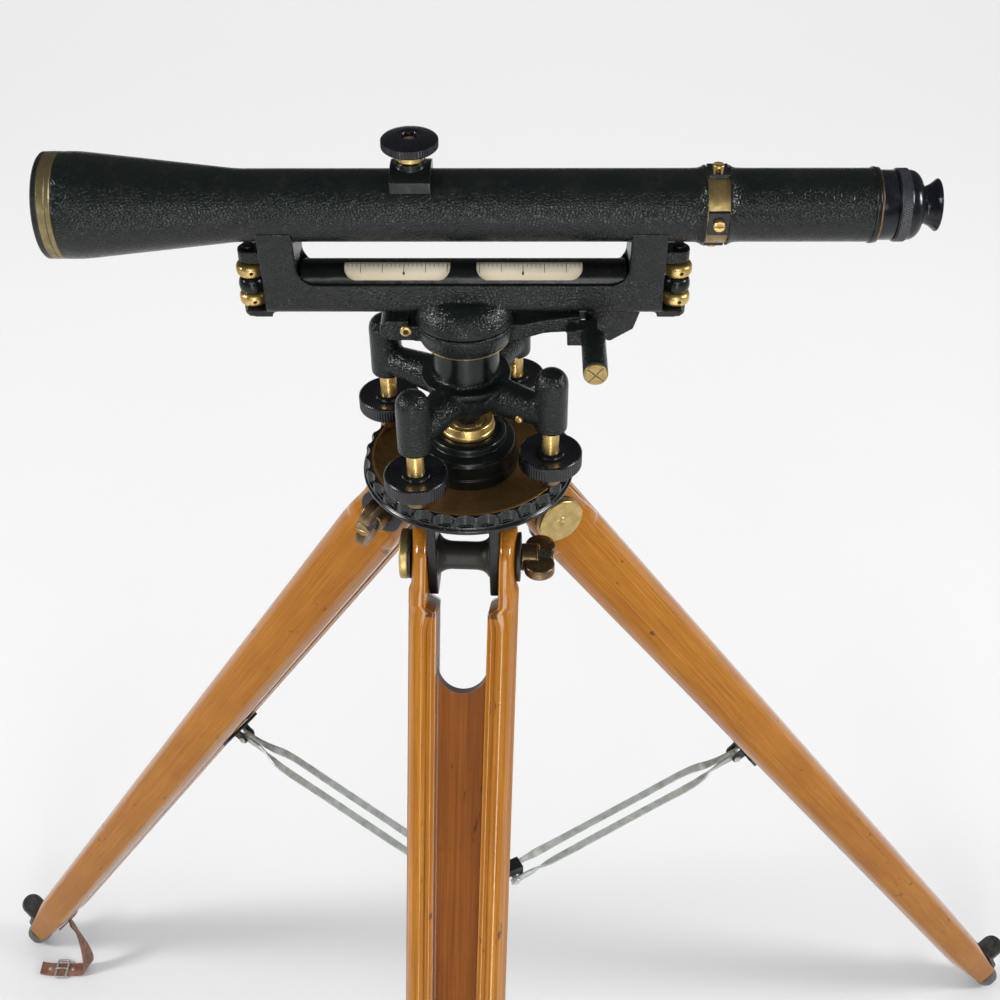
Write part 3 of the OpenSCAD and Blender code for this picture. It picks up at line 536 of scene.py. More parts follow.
def casting(name, nodes, body, skin, voxel, rounds):
    """CAD nodes fused and smoothed, so that corners fill out as in a casting."""
    shell = bmesh.new()
    for node in nodes:
        shell.from_mesh(frame["nodes"][node].data)
    mesh = bpy.data.meshes.new(name)
    shell.to_mesh(mesh)
    shell.free()
    rough = bpy.data.objects.new(name + "_rough", mesh)
    bpy.context.scene.collection.objects.link(rough)
    remesh = rough.modifiers.new("fuse", "REMESH")
    remesh.mode = "VOXEL"
    remesh.voxel_size = voxel * MM
    smooth = rough.modifiers.new("smooth", "SMOOTH")
    smooth.factor = 0.5
    smooth.iterations = rounds
    solid = evaluated(rough)
    bpy.data.objects.remove(rough)
    solid.shade_smooth()
    own = solid.attributes.new("local", "FLOAT_VECTOR", "POINT")
    own.data.foreach_set("vector", [c / MM for v in solid.vertices for c in v.co])
    return register(name, solid, body, skin, nodes)


def cut(made, *cutters):
    """Cuts pieces out of a mesh for good, and removes the cutters."""
    for cutter in cutters:
        knife = made.modifiers.new("cut", "BOOLEAN")
        knife.operation = "DIFFERENCE"
        knife.solver = "EXACT"
        knife.object = cutter
    bpy.context.view_layer.update()
    mesh = evaluated(made)
    made.modifiers.clear()
    made.data = mesh
    mesh.shade_smooth()
    mesh.set_sharp_from_angle(angle=math.radians(35))
    for cutter in cutters:
        bpy.data.objects.remove(cutter)


def slot_tool(half_length, half_width, low, high, place, body):
    """A cutter for a screwdriver slot."""
    return prism("slot", rectangle(half_length, half_width), low, high, place, body, INK_AND_SHADE, bevel=0.01)


def drill(low, high, radius, place, body, steps=20):
    """A cutter for a round hole."""
    return lathe("drill", hoop(low, high, radius), place, body, INK_AND_SHADE, steps=steps)


def ridged(low, high, count, depth):
    """Ripple of straight ridges round a rim between two stations."""

    def ripple(s, angle):
        return -depth * (0.5 - 0.5 * math.cos(angle * count)) if low <= s <= high else 0.0

    return ripple


# ---------------------------------------------------------------- telescope

sight = at(0, 0, SIGHT, Z_TO_X)
TUBE_R = 19.5
BELL_R = 28.6
FRONT = -225.0
RETICLE = 136.0
REAR = 221.0

bell = [(-214.4, 26.4), (-214.4, 28.1), (-213.8, BELL_R), (-206, BELL_R), (-201, 28.2)]
bell += [(-125, 19.9), (-121, TUBE_R), (122, TUBE_R)]
tube = eased(bell, 4) + [
    (126, 19.7), (128, 20.4), (129.2, 21.2), (130, 21.2), (130, 16.8), (-122, 16.8)]
lathe(
    "main_tube", tube + [(-126, 17.2), (-202, 26.4)], sight, "telescope", LEATHERED, "telescope_tube",
    144)
rear = [
    (142, 14.3), (142, 21.2), (142.8, 21.2), (144, 20.4), (146, 19.7), (150, TUBE_R),
    (REAR - 2.4, TUBE_R)]
lathe("rear_tube", rear + [(REAR - 2.4, 14.3)], sight, "telescope", LEATHERED, "eye_tube", 144)
flange = eased(hoop(REAR - 2.3, REAR + 0.1, 20.3, 14.3), 0.7, True)
lathe("rear_flange", flange, sight, "telescope", PLAIN_ENAMEL)
rear_ring = eased(hoop(REAR + 0.2, REAR + 1.4, 20.0, 14.3), 0.4, True)
lathe("rear_ring", rear_ring, sight, "telescope", HANDLED_BRONZE)
barrel = [
    (REAR + 1.4, 14.3), (REAR + 1.4, 18.6), (REAR + 9.4, 18.6), (REAR + 10, 18.2), (REAR + 10, 14.3)]
lathe("rear_barrel", barrel, sight, "telescope", LACQUER)

band = [(FRONT + 10.6, 26.4), (FRONT + 10.6, 28.2), (FRONT + 10.1, BELL_R), (FRONT + 8.2, BELL_R)]
band += [(FRONT + 7.9, 28.3), (FRONT + 7.6, BELL_R), (FRONT + 3.8, BELL_R), (FRONT + 3.3, 28.2)]
band += [(FRONT + 3.3, 24.5), (FRONT + 17, 24.5), (FRONT + 17, 26.4)]
lathe("objective_band", band, sight, "telescope", DULL_BRASS, "objective_cell", 144)
rim = [
    (FRONT + 3.3, 24.5), (FRONT + 3.3, 28.5), (FRONT + 0.9, 28.5), (FRONT + 0.2, 27.8), (FRONT, 26.6)]
rim += [(FRONT + 0.4, 25.4), (FRONT + 2.5, 23.0), (FRONT + 7.2, 23.0), (FRONT + 7.2, 24.5)]
lathe("objective_rim", rim, sight, "telescope", BLACK_IRON, "objective_ring", 144)
BULGE = 80.0
front_face = [(FRONT + 8 + BULGE - math.sqrt(BULGE**2 - r * r), r) for r in (0, 6, 12, 18, 22, 24.3)]
lathe(
    "objective_glass", front_face + [(FRONT + 16.5, 24.3), (FRONT + 16.8, 0)], sight, "telescope",
    GLASS, "objective_lens")

seat = eased(hoop(RETICLE - 6, RETICLE + 6, 19.9, 14.3), 0.2, True)
lathe("reticle_band", seat, sight, "telescope", AGED_BRASS, "reticle_ring", 144)
for k, name in enumerate(("top", "back", "bottom", "front")):
    outward = at(RETICLE, 0, SIGHT, turn("X", -90 * k))
    prism(
        f"reticle_pad_{name}", rectangle(5.6, 6.6), 18.6, 21.2, outward, "telescope", LACQUER,
        "reticle_screws" if k == 0 else (), 0.4)
    screw = lathe(
        f"reticle_screw_{name}", eased(hoop(20.5, 24.1, 3.1), 0.5), outward, "telescope", BRIGHT_BRASS,
        steps=48)
    cut(
        screw, slot_tool(4, 0.35, 23.2, 25, outward, "telescope"),
        drill(-5, 5, 0.75, inside(outward, 0, 0, 22.2, Z_TO_Y), "telescope", 16))

KNURL = 92


def diamond(s, angle):
    """Ripple of a cut diamond knurl on the eyepiece's grip."""
    if not REAR + 11.2 <= s <= REAR + 16.2:
        return 0.0
    slant = s * 2.4
    return -0.34 * (
        abs(math.sin(0.5 * (KNURL * angle + slant))) * abs(math.sin(0.5 * (KNURL * angle - slant))))


grip = [
    (REAR + 10.2, 11), (REAR + 10.2, 18.9), (REAR + 10.8, 19.3), (REAR + 11.0, 19.1),
    (REAR + 16.4, 19.1)]
grip += [(REAR + 16.9, 18.7), (REAR + 17.8, 18.6)] + [
    (x + REAR + 17.8, y) for x, y in arc(0, 12.1, 6.5, 84, 18, 12)]
grip += [(REAR + 24.1, 13.2), (REAR + 24.2, 11)]
lathe("eyepiece_grip", grip, sight, "eyepiece_ring", LACQUER, "eyepiece_ring", 128)
knurl = [(REAR + 11.1, 18.4)] + [
    (REAR + 11.1 + 0.26 * i, TUBE_R) for i in range(21)] + [(REAR + 16.3, 18.4)]
lathe("eyepiece_knurl", knurl, sight, "eyepiece_ring", KNURLED, (), 4 * KNURL, diamond, 180)
cup = [
    (205, 8.6), (205, 10.5), (246, 10.5), (247.5, 10.0), (248.6, 10.1), (251, 11.2), (253, 12.8),
    (254.4, 14.0)]
cup += [
    (254.9, 13.9), (255, 13.2), (253.6, 10.6), (252.4, 8.2), (252, 7.0), (252, 6.9), (250, 6.9),
    (249, 8.6)]
lathe("eyecup", eased(cup, 0.7, True, 3), sight, "eyepiece_barrel", LACQUER, "eyepiece_barrel")
lens = [(250.2, 0), (250.2, 6.9), (251.2, 6.9), (251.8, 4.5), (252.1, 0)]
lathe("eye_lens", lens, sight, "eyepiece_barrel", GLASS, steps=48)

# ---------------------------------------------------------------- focusing

knob = at(joints["focus_knob_turn"].x, 0, SIGHT)
dome = [(33, 0), (33, 13.2), (33.6, 14.2), (34.4, 15.1)] + [(34.4 + 0.5 * i, 15.3) for i in range(1, 9)]
dome += [
    (39.0, 14.6), (39.6, 13.0), (40.5, 10.2), (41.1, 7.6), (41.4, 5.9), (41.1, 5.2), (40.2, 4.6),
    (37.6, 4.4), (37.6, 0)]
lathe("focus_grip", dome, knob, "focus_knob", EBONITE, "focus_knob", 320, ridged(34.5, 38.6, 64, 0.28))
lathe("focus_collar", eased(hoop(27.5, 33, 7.7), 0.5), knob, "focus_knob", BRIGHT_BRASS)
# Painted shade: four dark discs stand in for the collar's holes, which are not cut.
for k in range(4):
    spoke = inside(knob, 0, 0, 30.2, turn("Z", 90 * k + 25), Z_TO_Y)
    lathe(
        f"focus_collar_hole_shade_{k + 1}",
        eased([(7.1, 0), (7.1, 0.9), (7.75, 0.9), (7.78, 0.7), (7.2, 0)], 0.05), spoke, "focus_knob",
        INK_AND_SHADE, steps=20)
lathe(
    "focus_screw", eased([(37.5, 0), (37.5, 3.6), (38.4, 3.6), (38.9, 2.6), (39.0, 0)], 0.3), knob,
    "focus_knob", BRIGHT_BRASS, steps=40)
lathe(
    "focus_pinion", [(9, 0), (9, 4.4), (13.5, 4.4), (13.5, 3), (27.5, 3), (27.5, 0)], knob,
    "focus_knob", BELL_METAL, ripple=ridged(8.9, 13.5, 12, 1.1))
casting("focus_saddle", ["focus_mount"], "telescope", PLAIN_ENAMEL, 0.45, 3)
frame["nodes"]["focus_slide"].data.materials[0] = BELL_METAL

# ---------------------------------------------------------------- level bar and vial

casting("bar_casting", ["level_bar"], "telescope", LEATHERED, 0.75, 4)
vial = at(0, 0, VIAL, Z_TO_X)
sleeve = lathe(
    "vial_sleeve", [(-90, 9.2), (-90, 10.6), (-89.6, 11), (89.6, 11), (90, 10.6), (90, 9.2)], vial,
    "telescope", PLAIN_ENAMEL, "vial_tube", 128)
WINDOW_TILT = 28
WINDOW_HALF = 29.4
WINDOW_X = 36.6
windows = []
for side in (-1, 1):
    opening = [(-WINDOW_HALF, 6.4)] + arc(-WINDOW_HALF + 6.5, -0.4, 6.4, 180, 270, 8)
    opening += arc(WINDOW_HALF - 6.5, -0.4, 6.4, 270, 360, 8) + [(WINDOW_HALF, 6.4)]
    opposite = at(side * WINDOW_X, 0, VIAL, turn("X", WINDOW_TILT))
    windows.append(prism("window", opening, 3, 20, opposite, "telescope", INK_AND_SHADE, bevel=0.01))
cut(sleeve, *windows)
VIAL_R = 8.9
lathe("vial_liner", hoop(-80, 80, VIAL_R), vial, "telescope", IVORY, "vial_glass", 96)

TICK = 2.4
SCALE_X = 33.0
for side, label in ((-1, "left"), (1, "right")):
    # A line is (X, radius, stations round the vial), a station (degrees, half width).
    lines = []
    for i in range(-13, 14):
        x = side * SCALE_X + TICK * i
        if abs(x - side * WINDOW_X) < WINDOW_HALF - 1.2:
            half, length = (0.16, 44) if i % 5 == 0 else (0.11, 22)
            lines.append((x, VIAL_R + 0.06, [(-4 + length * k / 6, half) for k in range(7)]))
    lines.append((side * SCALE_X, VIAL_R + 0.1, [(34, 0.1), (40, 0.55), (44, 0.7), (50, 0.1)]))
    verts, faces = [], []
    for x, radius, stations in lines:
        base = len(verts)
        for degrees, half in stations:
            tilt = math.radians(degrees)
            y, z = -radius * math.sin(tilt), radius * math.cos(tilt)
            verts += [(x - half, y, z), (x + half, y, z)]
        faces += [
            [base + 2 * k, base + 2 * k + 1, base + 2 * k + 3, base + 2 * k + 2]
            for k in range(len(stations) - 1)]
    scale = add_piece(f"vial_scale_{label}", verts, faces, at(0, 0, VIAL), "telescope", INK_AND_SHADE)
    scale.modifiers.new("thick", "SOLIDIFY").thickness = 0.06 * MM

for side, label in ((-1, "left"), (1, "right")):
    stud = at(side * 118.9, 0, DATUM)
    lathe(
        f"vial_stud_{label}", eased(hoop(73, 116.6, 2.5), 0.4), stud, "telescope", BRIGHT_BRASS,
        "vial_adjusters" if side < 0 else (), 32)
    lathe(
        f"vial_lug_{label}",
        eased([(88.5, 2.6), (88.5, 5.6), (90.5, 7.4), (94.5, 7.6), (98, 6.2), (98.6, 2.6)], 1.6, True),
        stud, "telescope", PLAIN_ENAMEL, (), 48)
    for level, d in (("upper", 103), ("lower", 84.6)):
        wheel = [
            (d - 4.2, 2.6), (d - 4.2, 6.2), (d - 2.2, 8.0), (d + 2.2, 8.0), (d + 4.2, 6.2),
            (d + 4.2, 2.6)]
        nut = lathe(
            f"vial_nut_{label}_{level}", eased(wheel, 1.6, True), stud, "telescope", BRIGHT_BRASS, (),
            64)
        drills = [
            drill(-12, 12, 1.1, inside(stud, 0, 0, d, turn("Z", angle), Z_TO_Y), "telescope")
            for angle in (12, 102)]
        cut(nut, *drills)
    lathe(
        f"vial_cap_{label}", eased([(115.8, 0), (115.8, 3.4), (117.6, 3.4), (117.9, 0)], 0.5), stud,
        "telescope", BLACK_IRON, (), 32)

# ---------------------------------------------------------------- clamp and slow motion

casting("clamp_casting", ["clamp_collar"], "clamp_collar", LEATHERED, 0.6, 4)
axis = at(0, 0, DATUM)
worn_rim = eased([(57.3, 24.6), (57.3, 25.5), (58.1, 26.15), (58.5, 25.6)], 0.2, True)
lathe("clamp_rim", worn_rim, axis, "clamp_collar", AGED_BRASS, (), 128)
slow = at(joints["tangent_screw_turn"].x, 0, joints["tangent_screw_turn"].z, Z_TO_Y)
box = [(-52.6, 0), (-52.6, 6.9), (-19.5, 6.9), (-19, 6.4), (-19, 0)]
lathe("spring_case", eased(box, 0.4), slow, "clamp_collar", LEATHERED, "spring_box", 64)
cap = lathe(
    "spring_cap", eased([(-55, 0), (-55, 6.3), (-54.4, 6.8), (-52.6, 6.8), (-52.6, 0)], 0.3), slow,
    "clamp_collar", AGED_BRASS, (), 240, ridged(-54.5, -52.4, 48, 0.25))
cross = [
    slot_tool(6, 0.4, -56, -54.4, inside(slow, 0, 0, 0, turn("Z", a)), "clamp_collar")
    for a in (40, 130)]
cut(cap, *cross)
pin = at(joints["clamp_screw_turn"].x, 0, joints["clamp_screw_turn"].z, Z_TO_Y)
screw = lathe(
    "clamp_screw_head",
    eased(
        [(-14.2, 0), (-14.2, 2.7), (-13.6, 3.4), (-12.1, 3.4), (-12.1, 2.5), (1.6, 2.5), (1.6, 0)], 0.3),
    pin, "clamp_screw", BRIGHT_BRASS, "clamp_screw", 48)
cut(screw, drill(-15, -12.9, 1.7, pin, "clamp_screw", 32))
# Painted shade: a dark disc at the floor of the screw head's hole.
lathe("clamp_screw_socket_shade", hoop(-13.2, -12.8, 1.5), pin, "clamp_screw", INK_AND_SHADE, (), 32)
thumb = [
    (10.05, 0), (10.05, 3.2), (25.5, 3.2), (25.5, 8.6), (26.1, 9.4)
] + [(26.1 + 0.5 * i, 9.5) for i in range(9)]
thumb += [(30.8, 8.8), (31.2, 6), (32.6, 5), (33, 4), (33, 0)]
lathe(
    "slow_motion_thumb", thumb, slow, "tangent_screw", EBONITE, "tangent_screw", 240,
    ridged(26.2, 30.2, 44, 0.25))
for node in ("spring_plunger", "tangent_tip", "vertical_axis"):
    frame["nodes"][node].data.materials[0] = BELL_METAL

# ---------------------------------------------------------------- levelling head

casting("spider_casting", ["levelling_spider"], "levelling_head", LEATHERED, 0.8, 9)
neck = [
    (30.5, 15), (30.5, 26.0), (32.2, 26.2), (32.9, 25.7), (33.1, 20.8), (33.6, 19.9), (34.8, 19.5),
    (53.2, 19.5), (54.0, 18.9), (57.0, 18.2), (57.0, 15)]
lathe("spider_neck", eased(neck, 0.5, True), axis, "levelling_head", PLAIN_ENAMEL, (), 128)

FOOT_R = 57.2
HEAD_R = 18.8
for n in range(1, 5):
    arm = at(0, 0, DATUM, turn("Z", 90 * n - 30))
    spot = inside(arm, FOOT_R)
    head = [(-16.6, 0), (-16.6, 12.6), (-16.0, 14.6), (-13.6, HEAD_R - 0.5)]
    head += [(-13.2 + 0.5 * k, HEAD_R) for k in range(17)]
    head += [
        (-4.6, HEAD_R - 0.3), (-3.9, HEAD_R - 1.2), (-4.3, HEAD_R - 3.0), (-5.2, 12), (-5.6, 9.4),
        (-5.4, 8.6)]
    head += [(-4.2, 8.0), (-3.9, 7.2), (-3.9, 5.2)]
    lathe(
        f"foot_head_{n}", head + [(-4.4, 0)], spot, f"foot_screw_{n}", EBONITE, f"foot_screw_{n}", 360,
        ridged(-13.3, -5.1, 72, 0.3))
    lathe(
        f"foot_shank_{n}", [(-5, 0), (-5, 5.2), (-3.2, 5.3), (-2.6, 5.0), (30, 5.0), (30, 0)], spot,
        f"foot_screw_{n}", BRIGHT_BRASS, (), 48)
    lathe(
        f"foot_stem_{n}",
        [
            (-25.5, 0), (-25, 2), (-24, 3.6), (-21.5, 4.5), (-19.4, 3.9), (-18.4, 3.2), (-16.5, 3.2),
            (-16.5, 0)], spot, f"foot_screw_{n}", BELL_METAL, (), 40)
    shoe = [
        (-27.0, 0), (-26.7, 5.6), (-26.3, 6.5), (-19.6, 6.5), (-19.2, 6.0), (-19.2, 4.6), (-22, 4.6),
        (-26, 0)]
    lathe(f"foot_shoe_body_{n}", shoe, spot, f"foot_shoe_{n}", HANDLED_BRONZE, f"foot_shoe_{n}", 48)
    collar = eased([(12.9, 5.1), (12.9, 9.0), (14.2, 9.5), (15.0, 9.4), (15.0, 5.1)], 0.3, True)
    lathe(f"post_foot_{n}", collar, spot, "levelling_head", PLAIN_ENAMEL, (), 64)
    flank = inside(arm, 41, -8.6, 18.5, Z_TO_Y)
    lathe(
        f"arm_screw_{n}", eased([(-1.9, 0), (-1.9, 1.6), (-1.2, 2.4), (0.9, 2.4), (0.9, 0)], 0.3),
        flank, "levelling_head", BRIGHT_BRASS, "arm_screws" if n == 1 else (), 32)

# ---------------------------------------------------------------- base

dish = [(-39, 12), (-39, 59.9), (-28.4, 59.9), (-28.0, 59.5), (-28.0, 57.8)]
dish += [(-29 - 5 * math.sin(math.radians(15 * i)), 57.5 - 27 * i / 6) for i in range(7)] + [(-34, 12)]
lathe("base_dish", dish, axis, "tripod_head", BRONZE_PLATE, "base_plate", 144)
pillar = [
    (-33.9, 9.2), (-33.9, 30.5), (-27.4, 30.5), (-26.8, 29.6), (-18.0, 29.4), (-15.4, 28.2),
    (-14.2, 25.0), (-13.8, 23.4), (-10.2, 23.2), (-9.2, 22.4), (-8.6, 20.5), (-8.6, 16.8), (-12, 12)]
lathe(
    "base_pillar_body", eased(pillar, 0.8, True), axis, "tripod_head", PLAIN_ENAMEL, "base_pillar", 128)
socket = [
    (-8.4, 13.2), (-8.4, 16.5), (-6.0, 16.5), (-5.4, 16.0), (-1.2, 15.6), (-0.6, 15.0), (-0.6, 13.6),
    (-3.4, 10.4), (-4.2, 11.2)]
lathe("socket_collar", eased(socket, 0.3, True), axis, "tripod_head", BRIGHT_BRASS, "socket_ring", 128)
ball = [
    (-9 - 12.4 * math.cos(math.radians(a)), 12.4 * math.sin(math.radians(a)))
    for a in range(22, 126, 6)]
lathe(
    "levelling_ball_body", ball + [(-2, 4.3), (-20, 4.3)], axis, "levelling_ball", BRIGHT_BRASS,
    "levelling_ball", 96)

SCALLOPS = 32
skirt = [
    (-39, 60.1), (-39, 64.2), (-38.4, 65.0), (-36.9, 65.0), (-36.3, 64.6), (-35.6, 63.8), (-34.8, 63.6),
    (-29.2, 63.6), (-27.7, 62.8), (-27.6, 60.1)]
ring = lathe(
    "scalloped_skirt", eased(skirt, 0.35, True), axis, "tripod_head", RING_IRON, "scalloped_ring", 288)
verts, faces = [], []
for i in range(SCALLOPS):
    spin = turn("Z", 360 / SCALLOPS * i)
    outline = arc(69.4, 0, 8.35, 90, 270, 20)
    faces += tube_faces(len(outline), 2, len(verts))
    for z, lean in ((-34.8, 0.6), (-25.0, -0.6)):
        verts += [tuple(spin @ Vector((x + lean, y, z))) for x, y in outline]
cut(ring, add_piece("bites", verts, faces, axis, "tripod_head", INK_AND_SHADE))

# ---------------------------------------------------------------- tripod head

disc = [(-44.4, 10), (-44.4, 58.5), (-43.4, 60), (-39, 60), (-39, 10)]
lathe("head_disc", eased(disc, 0.4, True), axis, "tripod_head", BLACK_IRON, "head_casting", 128)
for leg in LEGS:
    pivot = head_place(leg)
    bolt_axis = inside(pivot, 0, 0, 0, Z_TO_Y)
    spool = [(-16.2, 0), (-16.2, 13.4), (-15.0, 12.6), (-13.6, 10.6), (-11.0, 9.2), (-8.0, 8.7)]
    spool = spool + [(-s, r) for s, r in reversed(spool)]
    lathe(f"{leg}_spool", eased(spool, 1.5), bolt_axis, "tripod_head", SPOOL_IRON, (), 72)
    for side in (-1, 1):
        ear = [
            (-9.6, -25), (9.6, -25), (11, -22), (13.6, -6), (14, 0), (14, 33.4), (-14, 33.4), (-14, 0),
            (-13.6, -6), (-11, -22)]
        face_on = inside(pivot, 0, 0, 0, turn("X", 90))
        low, high = (15.9, 21.6) if side < 0 else (-21.6, -15.9)
        prism(
            f"{leg}_ear_{'a' if side < 0 else 'b'}", eased(ear, 2, True), low, high, face_on,
            "tripod_head", BLACK_IRON, (), 0.9)
    rings = [(-39, 0), (-38.7, 1.2), (-39.3, 2.2), (-39.3, 3.0), (-39.0, 3.4)]
    rings += [(-39.0 + (0.12 if k % 2 else 0.0), 4.0 + 0.7 * k) for k in range(15)]
    rings += [(-38.8, 14.9), (-38.2, 15.4), (-35.4, 15.5), (-34.2, 15.2), (-34, 14.6), (-34, 0)]
    lathe(
        f"{leg}_bolt_disc", rings, bolt_axis, "tripod_head", DISC_BRASS,
        "leg_bolts" if leg == "front" else (), 96)
    for side, low, high in (("disc", -34.0, -32.1), ("nut", 32.1, 34.4)):
        washer = eased(hoop(low, high, 15.2, 5), 0.4, True)
        lathe(f"{leg}_{side}_washer", washer, bolt_axis, "tripod_head", BLACK_IRON, (), 72)
    thread = [(33, 0), (33, 4.9)] + [(34 + 0.5 * k, 4.9 if k % 2 else 4.35) for k in range(38)]
    lathe(
        f"{leg}_bolt_thread", thread + [(52.9, 4.6), (52.9, 0)], bolt_axis, "tripod_head", BLACK_IRON,
        (), 40)
    tip = lathe(
        f"{leg}_bolt_tip", eased([(52.8, 0), (52.8, 4.9), (54.3, 4.9), (54.5, 4.4), (54.5, 0)], 0.25),
        bolt_axis, "tripod_head", AGED_BRASS, (), 40)
    cut(tip, slot_tool(6, 0.45, 53.8, 56, bolt_axis, "tripod_head"))
    casting(f"{leg}_wing_casting", [f"{leg}_wing_nut"], f"{leg}_wing_nut", HANDLED_BRONZE, 0.45, 12)

# ---------------------------------------------------------------- legs

WIDTH_TOP, WIDTH_FOOT = 67.6, 48.0
DEPTH_TOP, DEPTH_FOOT = 41.5, 40.0
TAPER_S = LEG_LENGTH - 150
SHOE_S = LEG_LENGTH - 48
SHOULDER_S = 31.0
SLOT_END_S = 86.0
RAIL_W = 17.7
CHEEK_IN, CHEEK_OUT = 21.9, 32.0
TOE_OUT, TOE_IN, TOE_DEPTH = 15.0, 3.0, 13.5
EYE_R = 18.5


def between(s, s0, s1, a, b):
    """A value that changes smoothly from a to b between two stations."""
    t = min(1.0, max(0.0, (s - s0) / (s1 - s0)))
    return a + (b - a) * t * t * (3 - 2 * t)


def along(s, a, b):
    """A value that changes evenly from a at the pivot to b at the point."""
    return a + (b - a) * s / LEG_LENGTH


def rail_outer(s):
    """Half of the leg's width at a station s below the pivot."""
    straight = along(min(s, TAPER_S), WIDTH_TOP, WIDTH_FOOT) / 2
    if s < 40:
        return between(s, 15.8, 21, CHEEK_OUT, straight)
    return between(s, TAPER_S - 60, SHOE_S + 20, straight, TOE_OUT - 0.6)


def rail_inner(s):
    """Half of the gap between the rails at a station."""
    straight = along(min(s, TAPER_S), WIDTH_TOP, WIDTH_FOOT) / 2 - RAIL_W
    if s < SLOT_END_S:
        return between(s, SHOULDER_S - 3, SHOULDER_S + 1.5, CHEEK_IN, straight)
    return between(s, TAPER_S, SHOE_S, straight, TOE_IN)


def rail_depth(s):
    """Half of the leg's depth at a station."""
    if s < 0:
        return math.sqrt(max(EYE_R**2 - s * s, 0.4))
    straight = along(s, DEPTH_TOP, DEPTH_FOOT) / 2
    if s < 60:
        return between(s, 0, 40, EYE_R, straight)
    return between(s, TAPER_S - 60, SHOE_S + 20, straight, TOE_DEPTH - 0.6)


def rail_loop(s, side):
    """One section across a rail.

    It has a narrow bead, a groove, and a wide bead rounded right over the outer side.
    """
    outer, inner, depth = rail_outer(s), rail_inner(s), rail_depth(s)
    relief = between(s, 26, 44, 0.25, 1.0) * min(1.0, depth / 15)
    width = outer - inner
    groove = inner + width * between(s, 28, 44, 0.12, 0.29)
    crest = groove + width * 0.17
    half = []
    for i in range(9):
        t = i / 8
        bead = 2.3 - 1.7 * math.sin(math.pi * (0.12 + 0.80 * t))
        half.append((inner + (groove - inner) * t, depth - relief * bead))
    for i in range(1, 6):
        t = i / 5
        half.append((groove + (crest - groove) * t, depth - relief * 2.1 * (1 - t) ** 1.8))
    power = 2 / 2.6
    for i in range(1, 13):
        angle = math.radians(90 - 90 * i / 13)
        half.append((
            crest + (outer - crest) * math.cos(angle) ** power, depth * math.sin(angle) ** power))
    front = [(d, side * w, -s) for w, d in half]
    return front + [(0, side * outer, -s)] + [(-d, side * w, -s) for w, d in reversed(half)]


STATIONS = [
    -18.4, -18.2, -17.6, -16.4, -14, -11, -7, -3, 0, 6, 12, 15.8, 17.5, 19, 21, 24, 28, 28.8, 29.6,
    30.4, 31.4, 32.5, 36, 40, 44, 52, 64, 80]
STATIONS += [120 + 85 * i for i in range(12)] + [
    TAPER_S - 60 + 14.4 * i for i in range(1, 11)] + [SHOE_S]
for leg in LEGS:
    down = leg_place(leg)
    for side, label in ((-1, "a"), (1, "b")):
        sweep(
            f"{leg}_rail_{label}", [rail_loop(s, side) for s in STATIONS], down, f"{leg}_leg", ASH,
            f"{leg}_leg_rails" if side < 0 else (), 50)
    mouth = rail_inner(SLOT_END_S) + 0.3
    outline = [(-TOE_IN - 0.3, -SHOE_S), (TOE_IN + 0.3, -SHOE_S), (rail_inner(TAPER_S) + 0.3, -TAPER_S)]
    outline += [(mouth, mouth - SLOT_END_S - 0.3)] + arc(
        0, mouth - SLOT_END_S, mouth - 0.3, -2, -178, 28)
    outline += [(-mouth, mouth - SLOT_END_S - 0.3), (-rail_inner(TAPER_S) - 0.3, -TAPER_S)]
    sides = [[(x, y, z) for y, z in outline] for x in (-6, 6)]
    soften(sweep(f"{leg}_panel", sides, down, f"{leg}_leg", PANEL, f"{leg}_leg_panel", 180), 1.2)

# ---------------------------------------------------------------- shoes, braces and strap


def curve(p, q, r, s, u):
    """The value at u between q and r on a smooth curve through all four."""
    bend = 2 * p - 5 * q + 4 * r - s
    twist = 3 * q - p - 3 * r + s
    return 0.5 * (2 * q + (r - p) * u + bend * u * u + twist * u**3)


def flow(stations, parts=5):
    """The stations joined by smooth curves."""
    made = []
    for i in range(len(stations) - 1):
        a, b, c, d = (stations[max(0, min(len(stations) - 1, i + k))] for k in (-1, 0, 1, 2))
        for part in range(parts):
            made.append(tuple(curve(*values, part / parts) for values in zip(a, b, c, d)))
    return made + [stations[-1]]


def strip(stations, half_width, half_thick):
    """Sections of a strip through stations given as (point, direction of its width)."""
    loops = []
    for i, (point, across) in enumerate(stations):
        ahead = stations[min(i + 1, len(stations) - 1)][0] - stations[max(i - 1, 0)][0]
        up = ahead.cross(across).normalized()
        side = up.cross(ahead).normalized()
        quarter = [(half_width, 0.3 * half_thick), (half_width - 0.5, half_thick)]
        top = quarter + [(-a, b) for a, b in reversed(quarter)]
        section = top + [(a, -b) for a, b in reversed(top)]
        loops.append([tuple(point + side * a + up * b) for a, b in section])
    return loops


CAP_TIP = LEG_LENGTH - 4.0
TREAD_S = LEG_LENGTH - 90
TREAD_R = rail_depth(TREAD_S) + 15.5
TREAD_HALF = 12.5
FLOOR_GAP = 0.6
CAP_POINTS = 28


def squared(share):
    """A sine or cosine pushed outward, so that a circle turns into a rounded square."""
    return math.copysign(abs(share) ** 0.75, share)


